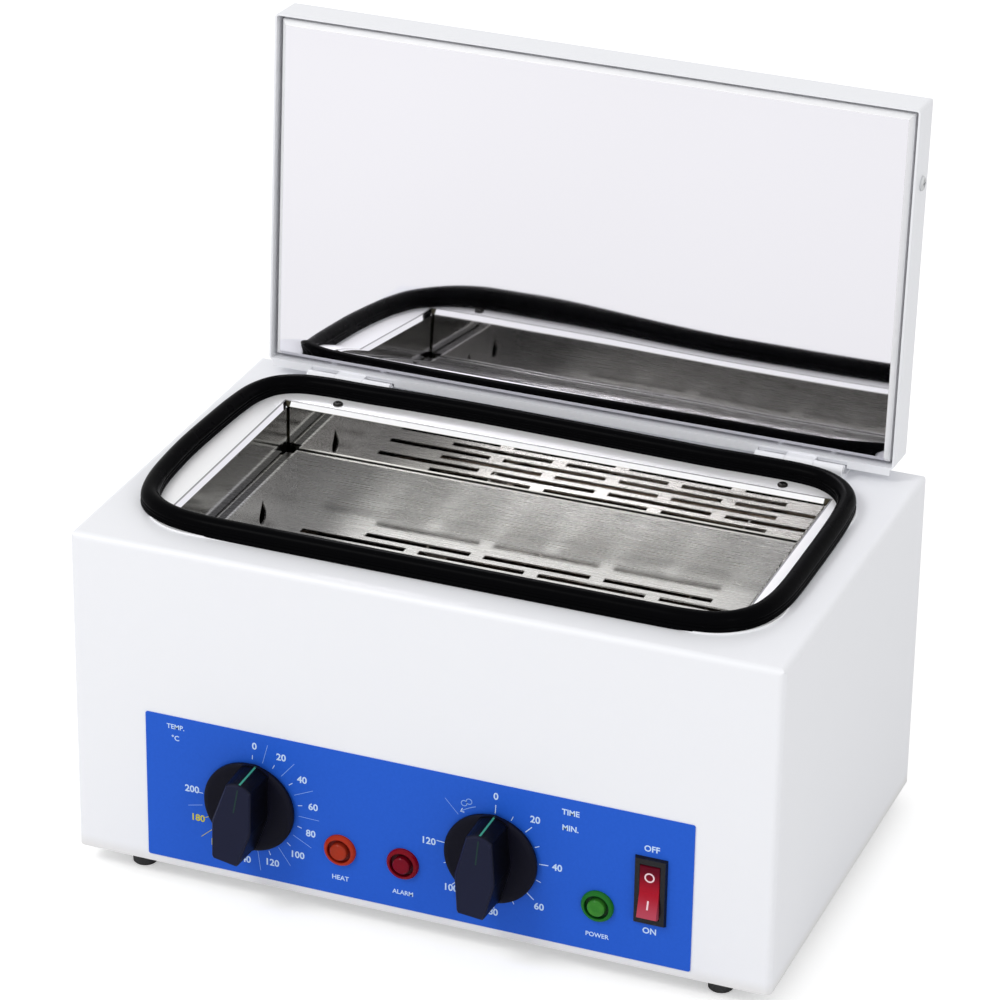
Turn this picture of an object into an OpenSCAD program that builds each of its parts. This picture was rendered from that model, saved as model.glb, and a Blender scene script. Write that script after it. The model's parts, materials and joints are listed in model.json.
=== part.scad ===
// Dry heat sterilizer: a bench box with a heated chamber under a hinged lid.
// Units are millimetres. The origin is on the bench under the middle of the housing, +Z is up
// and the control panel faces -Y. The lid is drawn closed and then swung open about its hinge.

/* [Housing] */
// Bare deck between the seal and the housing's side
deck_side = 15.5; // [12:0.5:40]
// Bare deck between the seal and the housing's front
deck_front = 16.5; // [14:0.5:60]
// Bare deck between the hinges and the housing's rear
deck_rear = 4.1; // [4:0.1:40]
// Height of the room for works under the chamber's insulation
works_h = 70.2; // [62:0.2:120]
// Thickness of the painted steel sheet
sheet_t = 1.2; // [0.8:0.1:2]
// Outside radius of the folded edges
fold_r = 3; // [2.2:0.2:5]
// Width of the return flange along the sides, at the bottom
return_w = 14; // [12:1:17]
// Width of the return flange along the front and back, at the bottom
return_front_w = 9; // [6:1:9]

/* [Base and feet] */
// Height of the housing's bottom edge above the bench
foot_h = 10; // [8:0.5:20]
// Thickness of the base plate
base_t = 1.2; // [0.8:0.1:2]
// Distance of the base plate's edge from the housing's outside
base_inset = 3; // [2:0.5:5]
// Radius of a rubber foot at its top
foot_r = 6.4; // [5:0.2:10]
// Radius of a rubber foot at the bench
foot_tip_r = 5.8; // [4.6:0.2:8]
// Distance of a foot's axis from the housing's side
foot_inset_x = 27.5; // [24:0.5:50]
// Distance of a foot's axis from the housing's front and back
foot_inset_y = 14; // [14:0.5:40]
// Radius of the screws that hold the feet and the base
base_screw_r = 1.6; // [1.2:0.1:2]

/* [Chamber] */
// Length of the chamber's mouth at the flange
mouth_w = 274; // [250:1:340]
// Depth of the chamber's mouth, front to back
mouth_d = 130; // [116:1:180]
// Depth of the chamber below the deck
chamber_depth = 80; // [76:1:120]
// Width and height of the bevel round the mouth
bevel = 2; // [1:0.5:3]
// Thickness of the stainless sheet
steel_t = 0.8; // [0.6:0.1:1.2]
// How far the flange reaches in under the seal from its outside
flange_cover = 1.6; // [1.2:0.1:3]
// Distance of the flange screws from the mouth's ends
flange_screw_in = 25; // [12:1:40]
// Distance of the flange screws from the mouth's edge
flange_screw_gap = 5.2; // [5:0.1:6]

/* [Tray] */
// Depth of the tray's rim below the deck
tray_drop = 23; // [18:1:26]
// Height of the tray, rim to floor
tray_h = 34.5; // [25:0.5:36]
// Gap between the tray and the chamber, front and back
tray_gap = 1.2; // [0.6:0.1:3]
// Width of the flange at each end of the tray
tray_flange_w = 4; // [3:0.5:8]
// Gap between a tray flange and the chamber's end wall
tray_end_gap = 1; // [0.5:0.1:2]
// Height of the folded hem inside the front and back rim
tray_hem_h = 3.2; // [2:0.2:6]
// Length of a floor slot
slot_l = 54; // [30:1:56]
// Width of a floor slot
slot_w = 4.2; // [3:0.1:5]
// Distance from slot to slot along a row
slot_pitch_x = 61; // [58:1:70]
// Distance from row to row
slot_pitch_y = 7.85; // [7:0.05:12]
// How far the slot pattern sits to the left of the tray's middle
slot_shift = 3; // [0:0.5:4]
// Distance of the end walls' hook holes from the tray's middle
hook_hole_y = 20; // [10:1:40]
// Height of the hook holes' middle above the tray's floor
hook_hole_rise = 20.5; // [12:0.5:22]
// Height of a hook hole, from its round foot to its point
hook_hole_h = 12.5; // [10:0.5:16]
// Radius of a hook hole's round foot
hook_hole_r = 4; // [2:0.1:4.5]

/* [Seal] */
// Width of the rubber seal
seal_w = 9; // [7:0.5:12]
// Height of the seal above the deck
seal_h = 9; // [6.5:0.5:10]
// Bare flange between the mouth and the seal at the ends
seal_gap_x = 8.5; // [6:0.5:12]
// Bare flange between the mouth and the seal at the front and back
seal_gap_y = 10; // [9:0.5:12]
// Outside corner radius of the seal
seal_r = 35; // [20:1:50]

/* [Lid] */
// How far the lid reaches out past the seal at the sides
lid_side_over = 3.75; // [2:0.25:10]
// How far the lid reaches out past the seal at the front
lid_front_over = 5; // [2:0.5:12]
// How far the lid reaches out past the seal at the rear
lid_rear_over = 1.5; // [1:0.1:4]
// Thickness of the lid from rim to outer face
lid_t = 21.5; // [17:0.5:32]
// Thickness of the lid's painted sheet
lid_sheet_t = 1; // [0.8:0.1:1.5]
// How far the inner panel sits in from the lid's rim
panel_recess = 0.6; // [0.4:0.1:1.5]
// Gap between the inner panel's edge and the lid's wall
panel_gap = 2; // [0.8:0.1:2.5]
// Width and height of the inner panel's bevelled edge
panel_bevel = 2.4; // [2:0.1:4]
// Width of the lip that is turned out along the lid's rear rim
rear_lip = 3; // [2:0.1:3.4]
// Depth of the inner panel's edge fold
panel_fold = 15; // [13:0.5:16]
// Running gap between the closed lid's panel and the seal
lid_seal_gap = 0.3; // [0.2:0.1:0.6]
// Angle at which the lid stands open
lid_open = 93.5; // [90:0.5:100]
// Distance of the side screws from the lid's front edge
side_screw_y = 37.5; // [20:0.5:60]
// Distance of the side screws from the lid's rim
side_screw_rise = 10.5; // [9:0.5:12]

/* [Hinges] */
// Length of a hinge
hinge_l = 43; // [30:1:60]
// Distance of a hinge's outer end from the lid's side
hinge_in = 22.75; // [10:0.25:60]
// Outside radius of a hinge knuckle
knuckle_r = 2.9; // [2.7:0.1:3.4]
// Radius of a hinge pin
pin_r = 1.4; // [1:0.1:1.6]
// Running gap of the pin in the lid's knuckle
pin_gap = 0.05; // [0.02:0.01:0.1]
// Height of the hinge axis above the deck
hinge_rise = 4.5; // [4.3:0.1:5]
// Thickness of the hinge sheet
leaf_t = 1.5; // [1.2:0.1:1.6]
// Depth of the fixed hinge bracket on the deck
bracket_d = 17; // [15:0.5:18]

/* [Handle] */
// Length of the handle
handle_l = 110; // [80:1:160]
// Height of the handle above the lid
handle_h = 13; // [12:0.5:15]
// Width of the handle
handle_w = 14; // [11:0.5:20]
// Thickness of the handle's grip
grip_t = 4.5; // [4:0.5:6]
// Distance of the handle's middle from the lid's front edge
handle_y = 20; // [14:1:40]

/* [Control label] */
// Distance of the control label's ends from the housing's sides, were it in the middle
label_side = 37; // [20:0.5:42]
// Height of the control label
label_h = 75; // [70:1:90]
// How far the control label sits to the left of the middle
label_shift = 0.6; // [0:0.1:3]
// Thickness of the control label
label_t = 0.5; // [0.3:0.1:1]
// Height of the label's lower edge above the housing's bottom edge
label_rise = 3.8; // [3:0.1:12]
// Height of the knobs and the switch above the label's lower edge
control_up = 37.5; // [32:0.1:41]
// Height of the lamps above the label's lower edge
lamp_up = 23.9; // [16:0.1:31]

/* [Knobs] */
// Distance of the temperature knob from the label's left edge
temperature_in = 52.4; // [48:0.1:56]
// Distance of the timer knob from the label's right edge
timer_in = 95.1; // [92:0.1:100]
// Radius of a knob's skirt
skirt_r = 22.3; // [18:0.1:25]
// Thickness of a knob's skirt
skirt_t = 3; // [2.6:0.1:4]
// Height of a knob's wing above the skirt
wing_h = 18.4; // [15:0.1:22]
// Width of a knob's wing across its middle
wing_w = 20.5; // [17:0.5:24]
// Width of a knob's wing at its ends
wing_end_w = 13.2; // [10:0.2:16]
// How far a wing's round pointer end reaches out past the skirt
wing_nose = 0.5; // [-2:0.1:2]
// Height of the round of a wing's pointer end
wing_round = 2.3; // [1:0.1:5]
// Width of the moulded bead round a wing's foot
wing_bead = 0.45; // [0.2:0.05:1]
// Gap between a knob's skirt and the label
knob_gap = 0.8; // [0.5:0.1:2]
// Radius of a control shaft
shaft_r = 3; // [2.5:0.1:3.5]
// Gap between a shaft and its bush or its knob
shaft_gap = 0.05; // [0.02:0.01:0.1]
// Turn of the temperature knob past its zero mark, in degrees
temperature_turn = 10.5; // [0:0.5:20]
// Turn of the timer knob past its zero mark, in degrees
timer_turn = 5.5; // [0:0.5:20]

/* [Lamps] */
// Place of the amber lamp between the temperature knob and the timer knob, as a share
amber_share = 0.375; // [0.34:0.005:0.42]
// Place of the red lamp between the temperature knob and the timer knob, as a share
red_share = 0.636; // [0.6:0.002:0.66]
// Distance of the green lamp from the label's right edge
green_in = 44.3; // [42:0.1:50]
// Radius of a lamp's lens
lens_r = 7.8; // [7:0.1:9]
// Height of a lamp's lens above the label
lens_h = 3.4; // [2.5:0.1:5]
// Radius of a lamp's barrel
barrel_r = 6.2; // [5.8:0.1:6.6]
// Length of a lamp's barrel behind the label
barrel_l = 24; // [18:1:30]

/* [Switch] */
// Distance of the switch from the label's right edge
switch_in = 19.6; // [16:0.1:22]
// Width of the switch bezel
bezel_w = 15.5; // [14:0.1:18]
// Height of the switch bezel
bezel_h = 34; // [32:0.5:38]
// How far the switch bezel stands proud of the label
bezel_t = 1.8; // [1.2:0.1:3]
// Width of the rocker
rocker_w = 9.2; // [8:0.1:11]
// Radius of the rocker's end faces about its pivot
rocker_r = 13.4; // [12:0.1:14]
// Travel of the rocker, in degrees
rocker_travel = 16; // [10:1:20]
// Depth of the rocker's pivot behind the bezel's face
rocker_pivot = 3; // [2.6:0.1:4]
// Radius of the rocker's pivot pins
rocker_pin_r = 1.2; // [0.8:0.1:1.5]
// Depth of the switch body behind the label
switch_depth = 22; // [18:1:28]

/* [Heating] */
// Radius of the tubular heater
heater_r = 3.5; // [3:0.1:4]
// Distance between neighbouring runs of the heater
heater_pitch = 30; // [24:1:30]
// Distance of the heater's bends from the chamber's end walls
heater_end_gap = 13; // [11:0.5:30]
// Height of the heater's axis above the chamber floor
heater_rise = 10; // [8:0.5:12]
// Thickness of the insulation round the chamber
wool_t = 12; // [8:1:13]
// Radius of the thermostat's sensing bulb
bulb_r = 3; // [2:0.1:3.5]
// Length of the sensing bulb
bulb_l = 86; // [60:1:100]

/* [Rear] */
// Distance of the cord gland from the housing's right side, seen from the front
gland_in = 50; // [30:1:80]
// Height of the cord gland above the housing's bottom edge
gland_rise = 28; // [20:1:40]
// Radius of the cord gland's bore
gland_bore_r = 3.7; // [3:0.1:4]
// Number of vent slots in each row on the rear
vent_count = 9; // [4:1:12]
// Length of a vent slot
vent_l = 22; // [12:1:26]

/* [Hidden] */
$fn = 64;
cut = 1;
seal_out_w = mouth_w + 2 * seal_gap_x + 2 * seal_w;
seal_out_d = mouth_d + 2 * seal_gap_y + 2 * seal_w;
body_w = seal_out_w + 2 * deck_side;
body_d = deck_front + seal_out_d + lid_rear_over + knuckle_r + bracket_d + deck_rear;
body_h = works_h + wool_t + steel_t + chamber_depth;
deck_z = foot_h + body_h;
front_y = -body_d / 2;
rear_y = body_d / 2;
chamber_y = front_y + deck_front + seal_out_d / 2;
inner_w = mouth_w - 2 * bevel;
inner_d = mouth_d - 2 * bevel;
floor_z = deck_z - chamber_depth;
deck_gap = 1;
bulb_y = chamber_y + heater_pitch;
bulb_in = 39;
label_z = foot_h + label_rise;
label_w = body_w - 2 * label_side;
control_z = label_z + control_up;
lamp_z = label_z + lamp_up;
label_left = -label_shift - label_w / 2;
label_right = -label_shift + label_w / 2;
temperature_x = label_left + temperature_in;
timer_x = label_right - timer_in;
switch_x = label_right - switch_in;
knob_span = timer_x - temperature_x;
lamp_x = [temperature_x + amber_share * knob_span, temperature_x + red_share * knob_span,
    label_right - green_in];

flange_r = seal_r - flange_cover;
flange_screw_x = mouth_w / 2 - flange_screw_in;
flange_screw_y = mouth_d / 2 + flange_screw_gap;

tray_out_d = inner_d - 2 * tray_gap;
tray_out_w = inner_w - 2 * tray_end_gap - 2 * tray_flange_w;
tray_rim_z = deck_z - tray_drop;
tray_floor_z = tray_rim_z - tray_h;
rail_gap = 0.8;
rail_leg = 9;
rail_t = 1;
rail_end_gap = 6;
rail_l = tray_out_d - 2 * rail_end_gap;
flange_notch = 4;
slot_side = 3.5;
slot_rows = floor((tray_out_d - 2 * steel_t - 2 * slot_side - slot_w) / slot_pitch_y / 2) * 2 + 1;

lid_w = seal_out_w + 2 * lid_side_over;
lid_d = seal_out_d + lid_rear_over + lid_front_over;
lid_rear_y = chamber_y + seal_out_d / 2 + lid_rear_over;
lid_front_y = lid_rear_y - lid_d;
panel_z = deck_z + seal_h + lid_seal_gap;
rim_z = panel_z - panel_recess;
lid_top_z = rim_z + lid_t;
hinge_y = lid_rear_y + knuckle_r;
hinge_z = deck_z + hinge_rise;
lid_r = 2;
panel_out_w = lid_w - 2 * lid_sheet_t - 2 * panel_gap;
panel_out_d = lid_d - 2 * lid_sheet_t - 2 * panel_gap;
lid_mid_y = (lid_rear_y + lid_front_y) / 2;
screw_r = 1.5;
head_r = 2.8;
head_h = 1.6;
hinge_end_x = lid_w / 2 - hinge_in;
knuckle_l = hinge_l / 3;
knuckle_side_gap = 0.15;
leaf_foot_gap = 0.5;
leaf_top_gap = 2.5;
leaf_h = lid_t - leaf_foot_gap - leaf_top_gap;
leaf_screw_rise = 7.5;
hinge_screw_x = hinge_l * 0.3;
stop_clear = 0.1;
screw_room = 0.1;
base_tail = 4;
hinge_tail = 5;
handle_tail = 7;
small_head_r = 2.4;
base_head_r = 3;
base_head_h = 1.8;
foot_nut_r = 3.2;
foot_nut_h = 2.6;
foot_recess_r = 3.4;
foot_recess_h = 4.4;
side_screw_r = 1.6;
side_head_r = 3.5;
side_head_h = 1.4;
handle_screw_in = 8;
handle_foot_l = 17;
handle_round = 4;
vent_w = 3;
vent_step = 11;
vent_row_gap = 8;
vent_z = foot_h + works_h * 0.75;

shaft_out = label_t + knob_gap + 14;
bush_r = 4.8;
bush_nut_h = 1.8;
bush_out = label_t + bush_nut_h + 0.6;
bush_nut_r = 7.2;
hole_clear = 0.2;
knob_recess_r = 9;
knob_recess_h = 2;
thermostat_size = [38, 34, 26];
timer_size = [46, 44, 30];
barrel_clear = 0.15;
lens_stem_r = barrel_r - 1.3;
lens_stem_l = 12;
lamp_nut_r = 9.4;
lamp_nut_h = 3;
switch_body_w = 12.6;
switch_body_h = 29.6;
switch_clear = 0.3;
rocker_clear = 0.3;
rocker_back = 3.4;
rocker_room = rocker_r + 2;
cutout_r = 8;
cutout_h = 9;
cutout_x = 60;
wool_clear = 0.3;
wool_top = deck_z - 7;
gland_r = 7.5;
gland_x = body_w / 2 - gland_in;
gland_z = foot_h + gland_rise;
gland_hex_r = gland_r + 2.6;
gland_hex_h = 4;
gland_nut_h = 3.4;
gland_tail = 9;
gland_cap_h = 8;
flange_nut_r = 3;
flange_nut_h = 2.4;
terminal_count = 5;
terminal_pitch = 9.6;
terminal_size = [8, 14, 14];
terminal_base = [50, 18, 8];
terminal_wire_r = 1.8;
heater_reach = inner_w / 2 - heater_end_gap;
bracket_x = heater_reach * 0.55;
clip_x = [bracket_x + 13.5, bracket_x - 29.5];

// A rectangle with true round corners, about its middle
module rounded_rect(w, d, r) {
    square([w - 2 * r, d], center = true);
    square([w, d - 2 * r], center = true);
    for (x = [-1, 1], y = [-1, 1])
        translate([x * (w / 2 - r), y * (d / 2 - r)]) circle(r);
}

// A box with round vertical and top edges, standing on z = 0
module folded_box(w, d, h, r) {
    intersection() {
        linear_extrude(h) rounded_rect(w, d, r);
        translate([0, d / 2, 0]) rotate([90, 0, 0]) linear_extrude(d) rounded_rect(w, 2 * h, r);
        translate([-w / 2, 0, 0]) rotate([90, 0, 90]) linear_extrude(w) rounded_rect(d, 2 * h, r);
    }
}

// A four-sided frustum, from a bottom rectangle at z = 0 to a top rectangle at z = h
module frustum(bottom, top, h) {
    intersection() {
        translate([0, max(bottom[1], top[1]) / 2, 0]) rotate([90, 0, 0])
            linear_extrude(max(bottom[1], top[1]))
                polygon([[-bottom[0] / 2, 0], [bottom[0] / 2, 0], [top[0] / 2, h], [-top[0] / 2, h]]);
        translate([-max(bottom[0], top[0]) / 2, 0, 0]) rotate([90, 0, 90])
            linear_extrude(max(bottom[0], top[0]))
                polygon([[-bottom[1] / 2, 0], [bottom[1] / 2, 0], [top[1] / 2, h], [-top[1] / 2, h]]);
    }
}

// A block about the middle of its footprint, standing on z = 0
module block(w, d, h) {
    translate([-w / 2, -d / 2, 0]) cube([w, d, h]);
}

// A pan-head screw with its shank below z = 0 and its head above
module screw(shank, r = screw_r, head = head_r, high = head_h) {
    difference() {
        union() {
            translate([0, 0, -shank]) cylinder(r = r, h = shank + high / 2);
            rotate_extrude() polygon([[0, 0], [head, 0], [head, high * 0.5], [head * 0.8, high * 0.9],
                [head * 0.5, high], [0, high]]);
        }
        translate([0, 0, high * 0.4]) for (a = [0, 90]) rotate(a) block(head * 1.1, head * 0.24, high);
    }
}

// Children placed on the front face: local z points out of the front
module on_front(x, z) {
    translate([x, front_y, z]) rotate([90, 0, 0]) children();
}

// Children placed on the rear face: local z points out of the rear
module on_rear(x, z) {
    translate([x, rear_y, z]) rotate([-90, 0, 0]) children();
}

// Children drawn on the closed lid, swung open about the hinge
module swung_open() {
    translate([0, hinge_y, hinge_z]) rotate([-lid_open, 0, 0]) translate([0, -hinge_y, -hinge_z])
        children();
}

module at_feet() {
    for (x = [-1, 1], y = [-1, 1])
        translate([x * (body_w / 2 - foot_inset_x), y * (body_d / 2 - foot_inset_y), 0]) children();
}

module at_base_screws() {
    for (x = [-1, 1], y = [-1, 0, 1])
        translate([x * (body_w / 2 - return_w / 2 - base_inset / 2), y * body_d / 4, 0]) children();
}

module at_flange_screws() {
    for (x = [-1, 1], y = [-1, 1])
        translate([x * flange_screw_x, chamber_y + y * flange_screw_y, 0]) children();
}

module at_hinges() {
    for (side = [-1, 1]) translate([side * (hinge_end_x - hinge_l / 2), 0, 0]) children();
}

module housing() {
    color("whitesmoke") difference() {
        translate([0, 0, foot_h]) folded_box(body_w, body_d, body_h, fold_r);
        translate([0, 0, foot_h + sheet_t])
            folded_box(body_w - 2 * sheet_t, body_d - 2 * sheet_t, body_h - 2 * sheet_t, fold_r - sheet_t);
        translate([0, 0, foot_h - cut]) linear_extrude(sheet_t + 2 * cut)
            rounded_rect(body_w - 2 * return_w, body_d - 2 * return_front_w, fold_r);
        translate([0, chamber_y, deck_z - sheet_t - cut]) linear_extrude(sheet_t + 2 * cut)
            rounded_rect(mouth_w + 2 * steel_t + 2 * deck_gap, mouth_d + 2 * steel_t + 2 * deck_gap, 2);
        at_flange_screws() translate([0, 0, deck_z - sheet_t - cut])
            cylinder(r = screw_r + hole_clear, h = sheet_t + 2 * cut);
        at_hinges() hinge_screw_places() translate([0, 0, deck_z - sheet_t - cut])
            cylinder(r = screw_r + hole_clear, h = sheet_t + 2 * cut);
        at_base_screws() translate([0, 0, foot_h - cut])
            cylinder(r = base_screw_r + screw_room, h = sheet_t + 2 * cut);
        front_holes(sheet_t + cut, cut);
        on_rear(gland_x, gland_z) translate([0, 0, -sheet_t - cut])
            cylinder(r = gland_r + hole_clear, h = sheet_t + 2 * cut);
        rear_vents();
    }
}

module rear_vents() {
    for (row = [0, 1], i = [0:vent_count - 1])
        on_rear((i - (vent_count - 1) / 2) * vent_step, vent_z + row * (vent_l + vent_row_gap))
            translate([0, 0, -sheet_t - cut]) linear_extrude(sheet_t + 2 * cut)
                rounded_rect(vent_w, vent_l, vent_w * 0.48);
}

// The holes for lamps, shafts and switch, from behind the front face to before it
module front_holes(behind, before) {
    for (x = lamp_x) on_front(x, lamp_z) translate([0, 0, -behind])
        cylinder(r = barrel_r + barrel_clear, h = behind + before);
    for (x = [temperature_x, timer_x]) on_front(x, control_z) translate([0, 0, -behind])
        cylinder(r = bush_r + hole_clear, h = behind + before);
    on_front(switch_x, control_z) translate([0, 0, -behind]) linear_extrude(behind + before)
        square([switch_body_w + 2 * switch_clear, switch_body_h + 2 * switch_clear], center = true);
}

module base_plate() {
    color("lightgray") difference() {
        translate([0, 0, foot_h - base_t]) linear_extrude(base_t)
            rounded_rect(body_w - 2 * base_inset, body_d - 2 * base_inset, fold_r);
        at_feet() translate([0, 0, foot_h - base_t - cut])
            cylinder(r = base_screw_r + hole_clear, h = base_t + 2 * cut);
        at_base_screws() translate([0, 0, foot_h - base_t - cut])
            cylinder(r = base_screw_r + hole_clear, h = base_t + 2 * cut);
        for (row = [-1, 1], i = [-4:4])
            translate([i * vent_step, row * body_d / 6, foot_h - base_t - cut])
                linear_extrude(base_t + 2 * cut) rounded_rect(vent_w, vent_l, vent_w * 0.48);
    }
}

module base_screws() {
    color("silver") at_base_screws() translate([0, 0, foot_h - base_t]) mirror([0, 0, 1])
        screw(base_t + sheet_t + base_tail, base_screw_r, base_head_r, base_head_h);
}

module feet() {
    color("dimgray") at_feet() difference() {
        rotate_extrude() polygon([[0, 0], [foot_tip_r * 0.9, 0], [foot_tip_r, foot_tip_r * 0.1],
            [foot_r, foot_h - base_t], [0, foot_h - base_t]]);
        translate([0, 0, -cut]) cylinder(r = foot_recess_r, h = foot_recess_h + cut);
        translate([0, 0, -cut]) cylinder(r = base_screw_r + screw_room, h = foot_h + 2 * cut);
    }
}

module foot_screws() {
    color("silver") at_feet() {
        translate([0, 0, foot_recess_h]) mirror([0, 0, 1])
            screw(foot_h - foot_recess_h + foot_nut_h * 1.2, base_screw_r, base_head_r, base_head_h);
        translate([0, 0, foot_h]) difference() {
            cylinder(r = foot_nut_r, h = foot_nut_h, $fn = 6);
            translate([0, 0, -cut]) cylinder(r = base_screw_r - 0.02, h = foot_nut_h + 2 * cut);
        }
    }
}

module control_label() {
    color("royalblue") difference() {
        on_front(-label_shift, label_z + label_h / 2) linear_extrude(label_t)
            rounded_rect(label_w, label_h, 1);
        front_holes(cut, label_t + cut);
    }
}

module chamber() {
    color("gainsboro") translate([0, chamber_y, 0]) difference() {
        union() {
            translate([0, 0, deck_z]) linear_extrude(steel_t)
                rounded_rect(seal_out_w - 2 * flange_cover, seal_out_d - 2 * flange_cover, flange_r);
            translate([0, 0, deck_z + steel_t - bevel])
                frustum([inner_w + 2 * steel_t, inner_d + 2 * steel_t],
                    [mouth_w + 2 * steel_t, mouth_d + 2 * steel_t], bevel);
            translate([0, 0, floor_z - steel_t])
                block(inner_w + 2 * steel_t, inner_d + 2 * steel_t, chamber_depth + steel_t - bevel / 2);
        }
        translate([0, 0, deck_z + steel_t - bevel])
            frustum([inner_w, inner_d], [mouth_w, mouth_d], bevel);
        translate([0, 0, deck_z + steel_t - cut / 100]) block(mouth_w, mouth_d, cut);
        translate([0, 0, floor_z]) block(inner_w, inner_d, chamber_depth + steel_t - bevel + cut / 100);
        translate([0, -chamber_y, 0]) at_flange_screws() translate([0, 0, deck_z - cut])
            cylinder(r = screw_r + screw_room, h = steel_t + 2 * cut);
        translate([0, -chamber_y, 0]) heater_exits() cylinder(r = heater_r + 0.2, h = 3 * steel_t);
        translate([inner_w / 2 - steel_t, bulb_y - chamber_y, floor_z + heater_rise]) rotate([0, 90, 0])
            cylinder(r = 1.3, h = 3 * steel_t);
    }
}

// Where the two heater ends leave the chamber's right wall, with local z pointing out
module heater_exits() {
    for (side = [-1, 1])
        translate([inner_w / 2 - steel_t, chamber_y + side * heater_pitch * 1.5, floor_z + heater_rise])
            rotate([0, 90, 0]) children();
}

module flange_screws() {
    color("dimgray") at_flange_screws() {
        translate([0, 0, deck_z + steel_t])
            screw(steel_t + sheet_t + flange_nut_h * 1.4, screw_r, small_head_r, head_h * 0.8);
        translate([0, 0, deck_z - sheet_t - flange_nut_h]) difference() {
            cylinder(r = flange_nut_r, h = flange_nut_h, $fn = 6);
            translate([0, 0, -cut]) cylinder(r = screw_r - 0.02, h = flange_nut_h + 2 * cut);
        }
    }
}

module tray_rails() {
    color("silver") for (side = [-1, 1])
        translate([side * inner_w / 2, chamber_y, tray_rim_z - steel_t]) mirror([side > 0 ? 1 : 0, 0, 0])
            translate([0, rail_l / 2, 0]) rotate([90, 0, 0]) linear_extrude(rail_l)
                polygon([[0, 0], [tray_end_gap + tray_flange_w - rail_gap, 0],
                    [tray_end_gap + tray_flange_w - rail_gap, -rail_t], [rail_t, -rail_t],
                    [rail_t, -rail_leg], [0, -rail_leg]]);
}

// The seal's section: a foot that grips the flange's edge, and a round bulb on top
module seal_section() {
    bulb = seal_w / 2 - 0.2;
    difference() {
        union() {
            square([seal_w, seal_h - bulb - 0.6]);
            translate([seal_w / 2, seal_h - bulb]) circle(bulb);
        }
        translate([-cut, -cut]) square([seal_w - flange_cover + 0.3 + cut, steel_t + cut]);
        translate([-0.1, (seal_h - bulb) * 0.62]) circle(0.7);
        translate([seal_w + 0.1, (seal_h - bulb) * 0.62]) circle(0.7);
    }
}

module seal() {
    run_w = seal_out_w - 2 * seal_r;
    run_d = seal_out_d - 2 * seal_r;
    color("black") translate([0, chamber_y, deck_z]) {
        for (side = [0, 1]) rotate(180 * side) {
            translate([run_w / 2, run_d / 2, 0]) rotate_extrude(angle = 90)
                translate([seal_r - seal_w, 0]) seal_section();
            translate([-run_w / 2, run_d / 2, 0]) rotate(90) rotate_extrude(angle = 90)
                translate([seal_r - seal_w, 0]) seal_section();
            translate([seal_out_w / 2 - seal_w, run_d / 2, 0]) rotate([90, 0, 0])
                linear_extrude(run_d) seal_section();
            translate([-run_w / 2, seal_out_d / 2 - seal_w, 0]) rotate([90, 0, 90])
                linear_extrude(run_w) seal_section();
        }
    }
}

module chamber_insulation() {
    out_w = inner_w + 2 * steel_t;
    out_d = inner_d + 2 * steel_t;
    color("khaki") difference() {
        translate([0, chamber_y, floor_z - steel_t - wool_t])
            block(out_w + 2 * wool_t, out_d + 2 * wool_t, wool_top - floor_z + steel_t + wool_t);
        translate([0, chamber_y, floor_z - steel_t - wool_clear])
            block(out_w + 2 * wool_clear, out_d + 2 * wool_clear, chamber_depth + cut);
        translate([cutout_x, chamber_y, floor_z - steel_t - wool_t - cut])
            cylinder(r = cutout_r + 1, h = wool_t + 2 * cut);
        for (side = [-1, 1])
            translate([out_w / 2 - cut, chamber_y + side * heater_pitch * 1.5, floor_z + heater_rise])
                rotate([0, 90, 0]) cylinder(r = heater_r + 3.5, h = wool_t + 2 * cut);
        translate([out_w / 2 - cut, bulb_y, floor_z + heater_rise]) rotate([0, 90, 0])
            cylinder(r = 2, h = wool_t + 2 * cut);
    }
}

module heater() {
    bend_x = heater_reach - heater_pitch / 2 - heater_r;
    color("dimgray") translate([0, chamber_y, floor_z + heater_rise]) {
        for (y = [-1.5, -0.5, 0.5, 1.5])
            translate([-bend_x, y * heater_pitch, 0]) rotate([0, 90, 0])
                cylinder(r = heater_r, h = (abs(y) > 1 ? inner_w / 2 + bend_x + 3 : 2 * bend_x));
        for (y = [-1, 1]) translate([-bend_x, y * heater_pitch, 0]) rotate(90)
            rotate_extrude(angle = 180) translate([heater_pitch / 2, 0]) circle(heater_r);
        translate([bend_x, 0, 0]) rotate(-90)
            rotate_extrude(angle = 180) translate([heater_pitch / 2, 0]) circle(heater_r);
        for (y = [-1.5, 1.5]) translate([inner_w / 2 + steel_t, y * heater_pitch, 0])
            rotate([0, 90, 0]) {
                cylinder(r = heater_r + 2.4, h = 1.6, $fn = 6);
                cylinder(r = 1.4, h = 9);
            }
    }
}

// Notched strips that stand on the chamber floor and carry the heater
module heater_brackets() {
    color("silver") for (x = [-bracket_x, bracket_x])
        translate([x, chamber_y, floor_z]) difference() {
            union() {
                block(1, 3 * heater_pitch + 4 * heater_r, heater_rise + 1);
                translate([2.5, 0, 0]) block(6, 3 * heater_pitch + 4 * heater_r, 1);
            }
            for (y = [-1.5, -0.5, 0.5, 1.5]) translate([-2, y * heater_pitch, heater_rise])
                notch(heater_r + 0.15);
            translate([-2, bulb_y - chamber_y, heater_rise]) notch(bulb_r + 0.15);
        }
}

// A round-bottomed notch along X, open upwards
module notch(r) {
    rotate([0, 90, 0]) cylinder(r = r, h = 4);
    translate([0, -r, 0]) cube([4, 2 * r, 8]);
}

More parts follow.
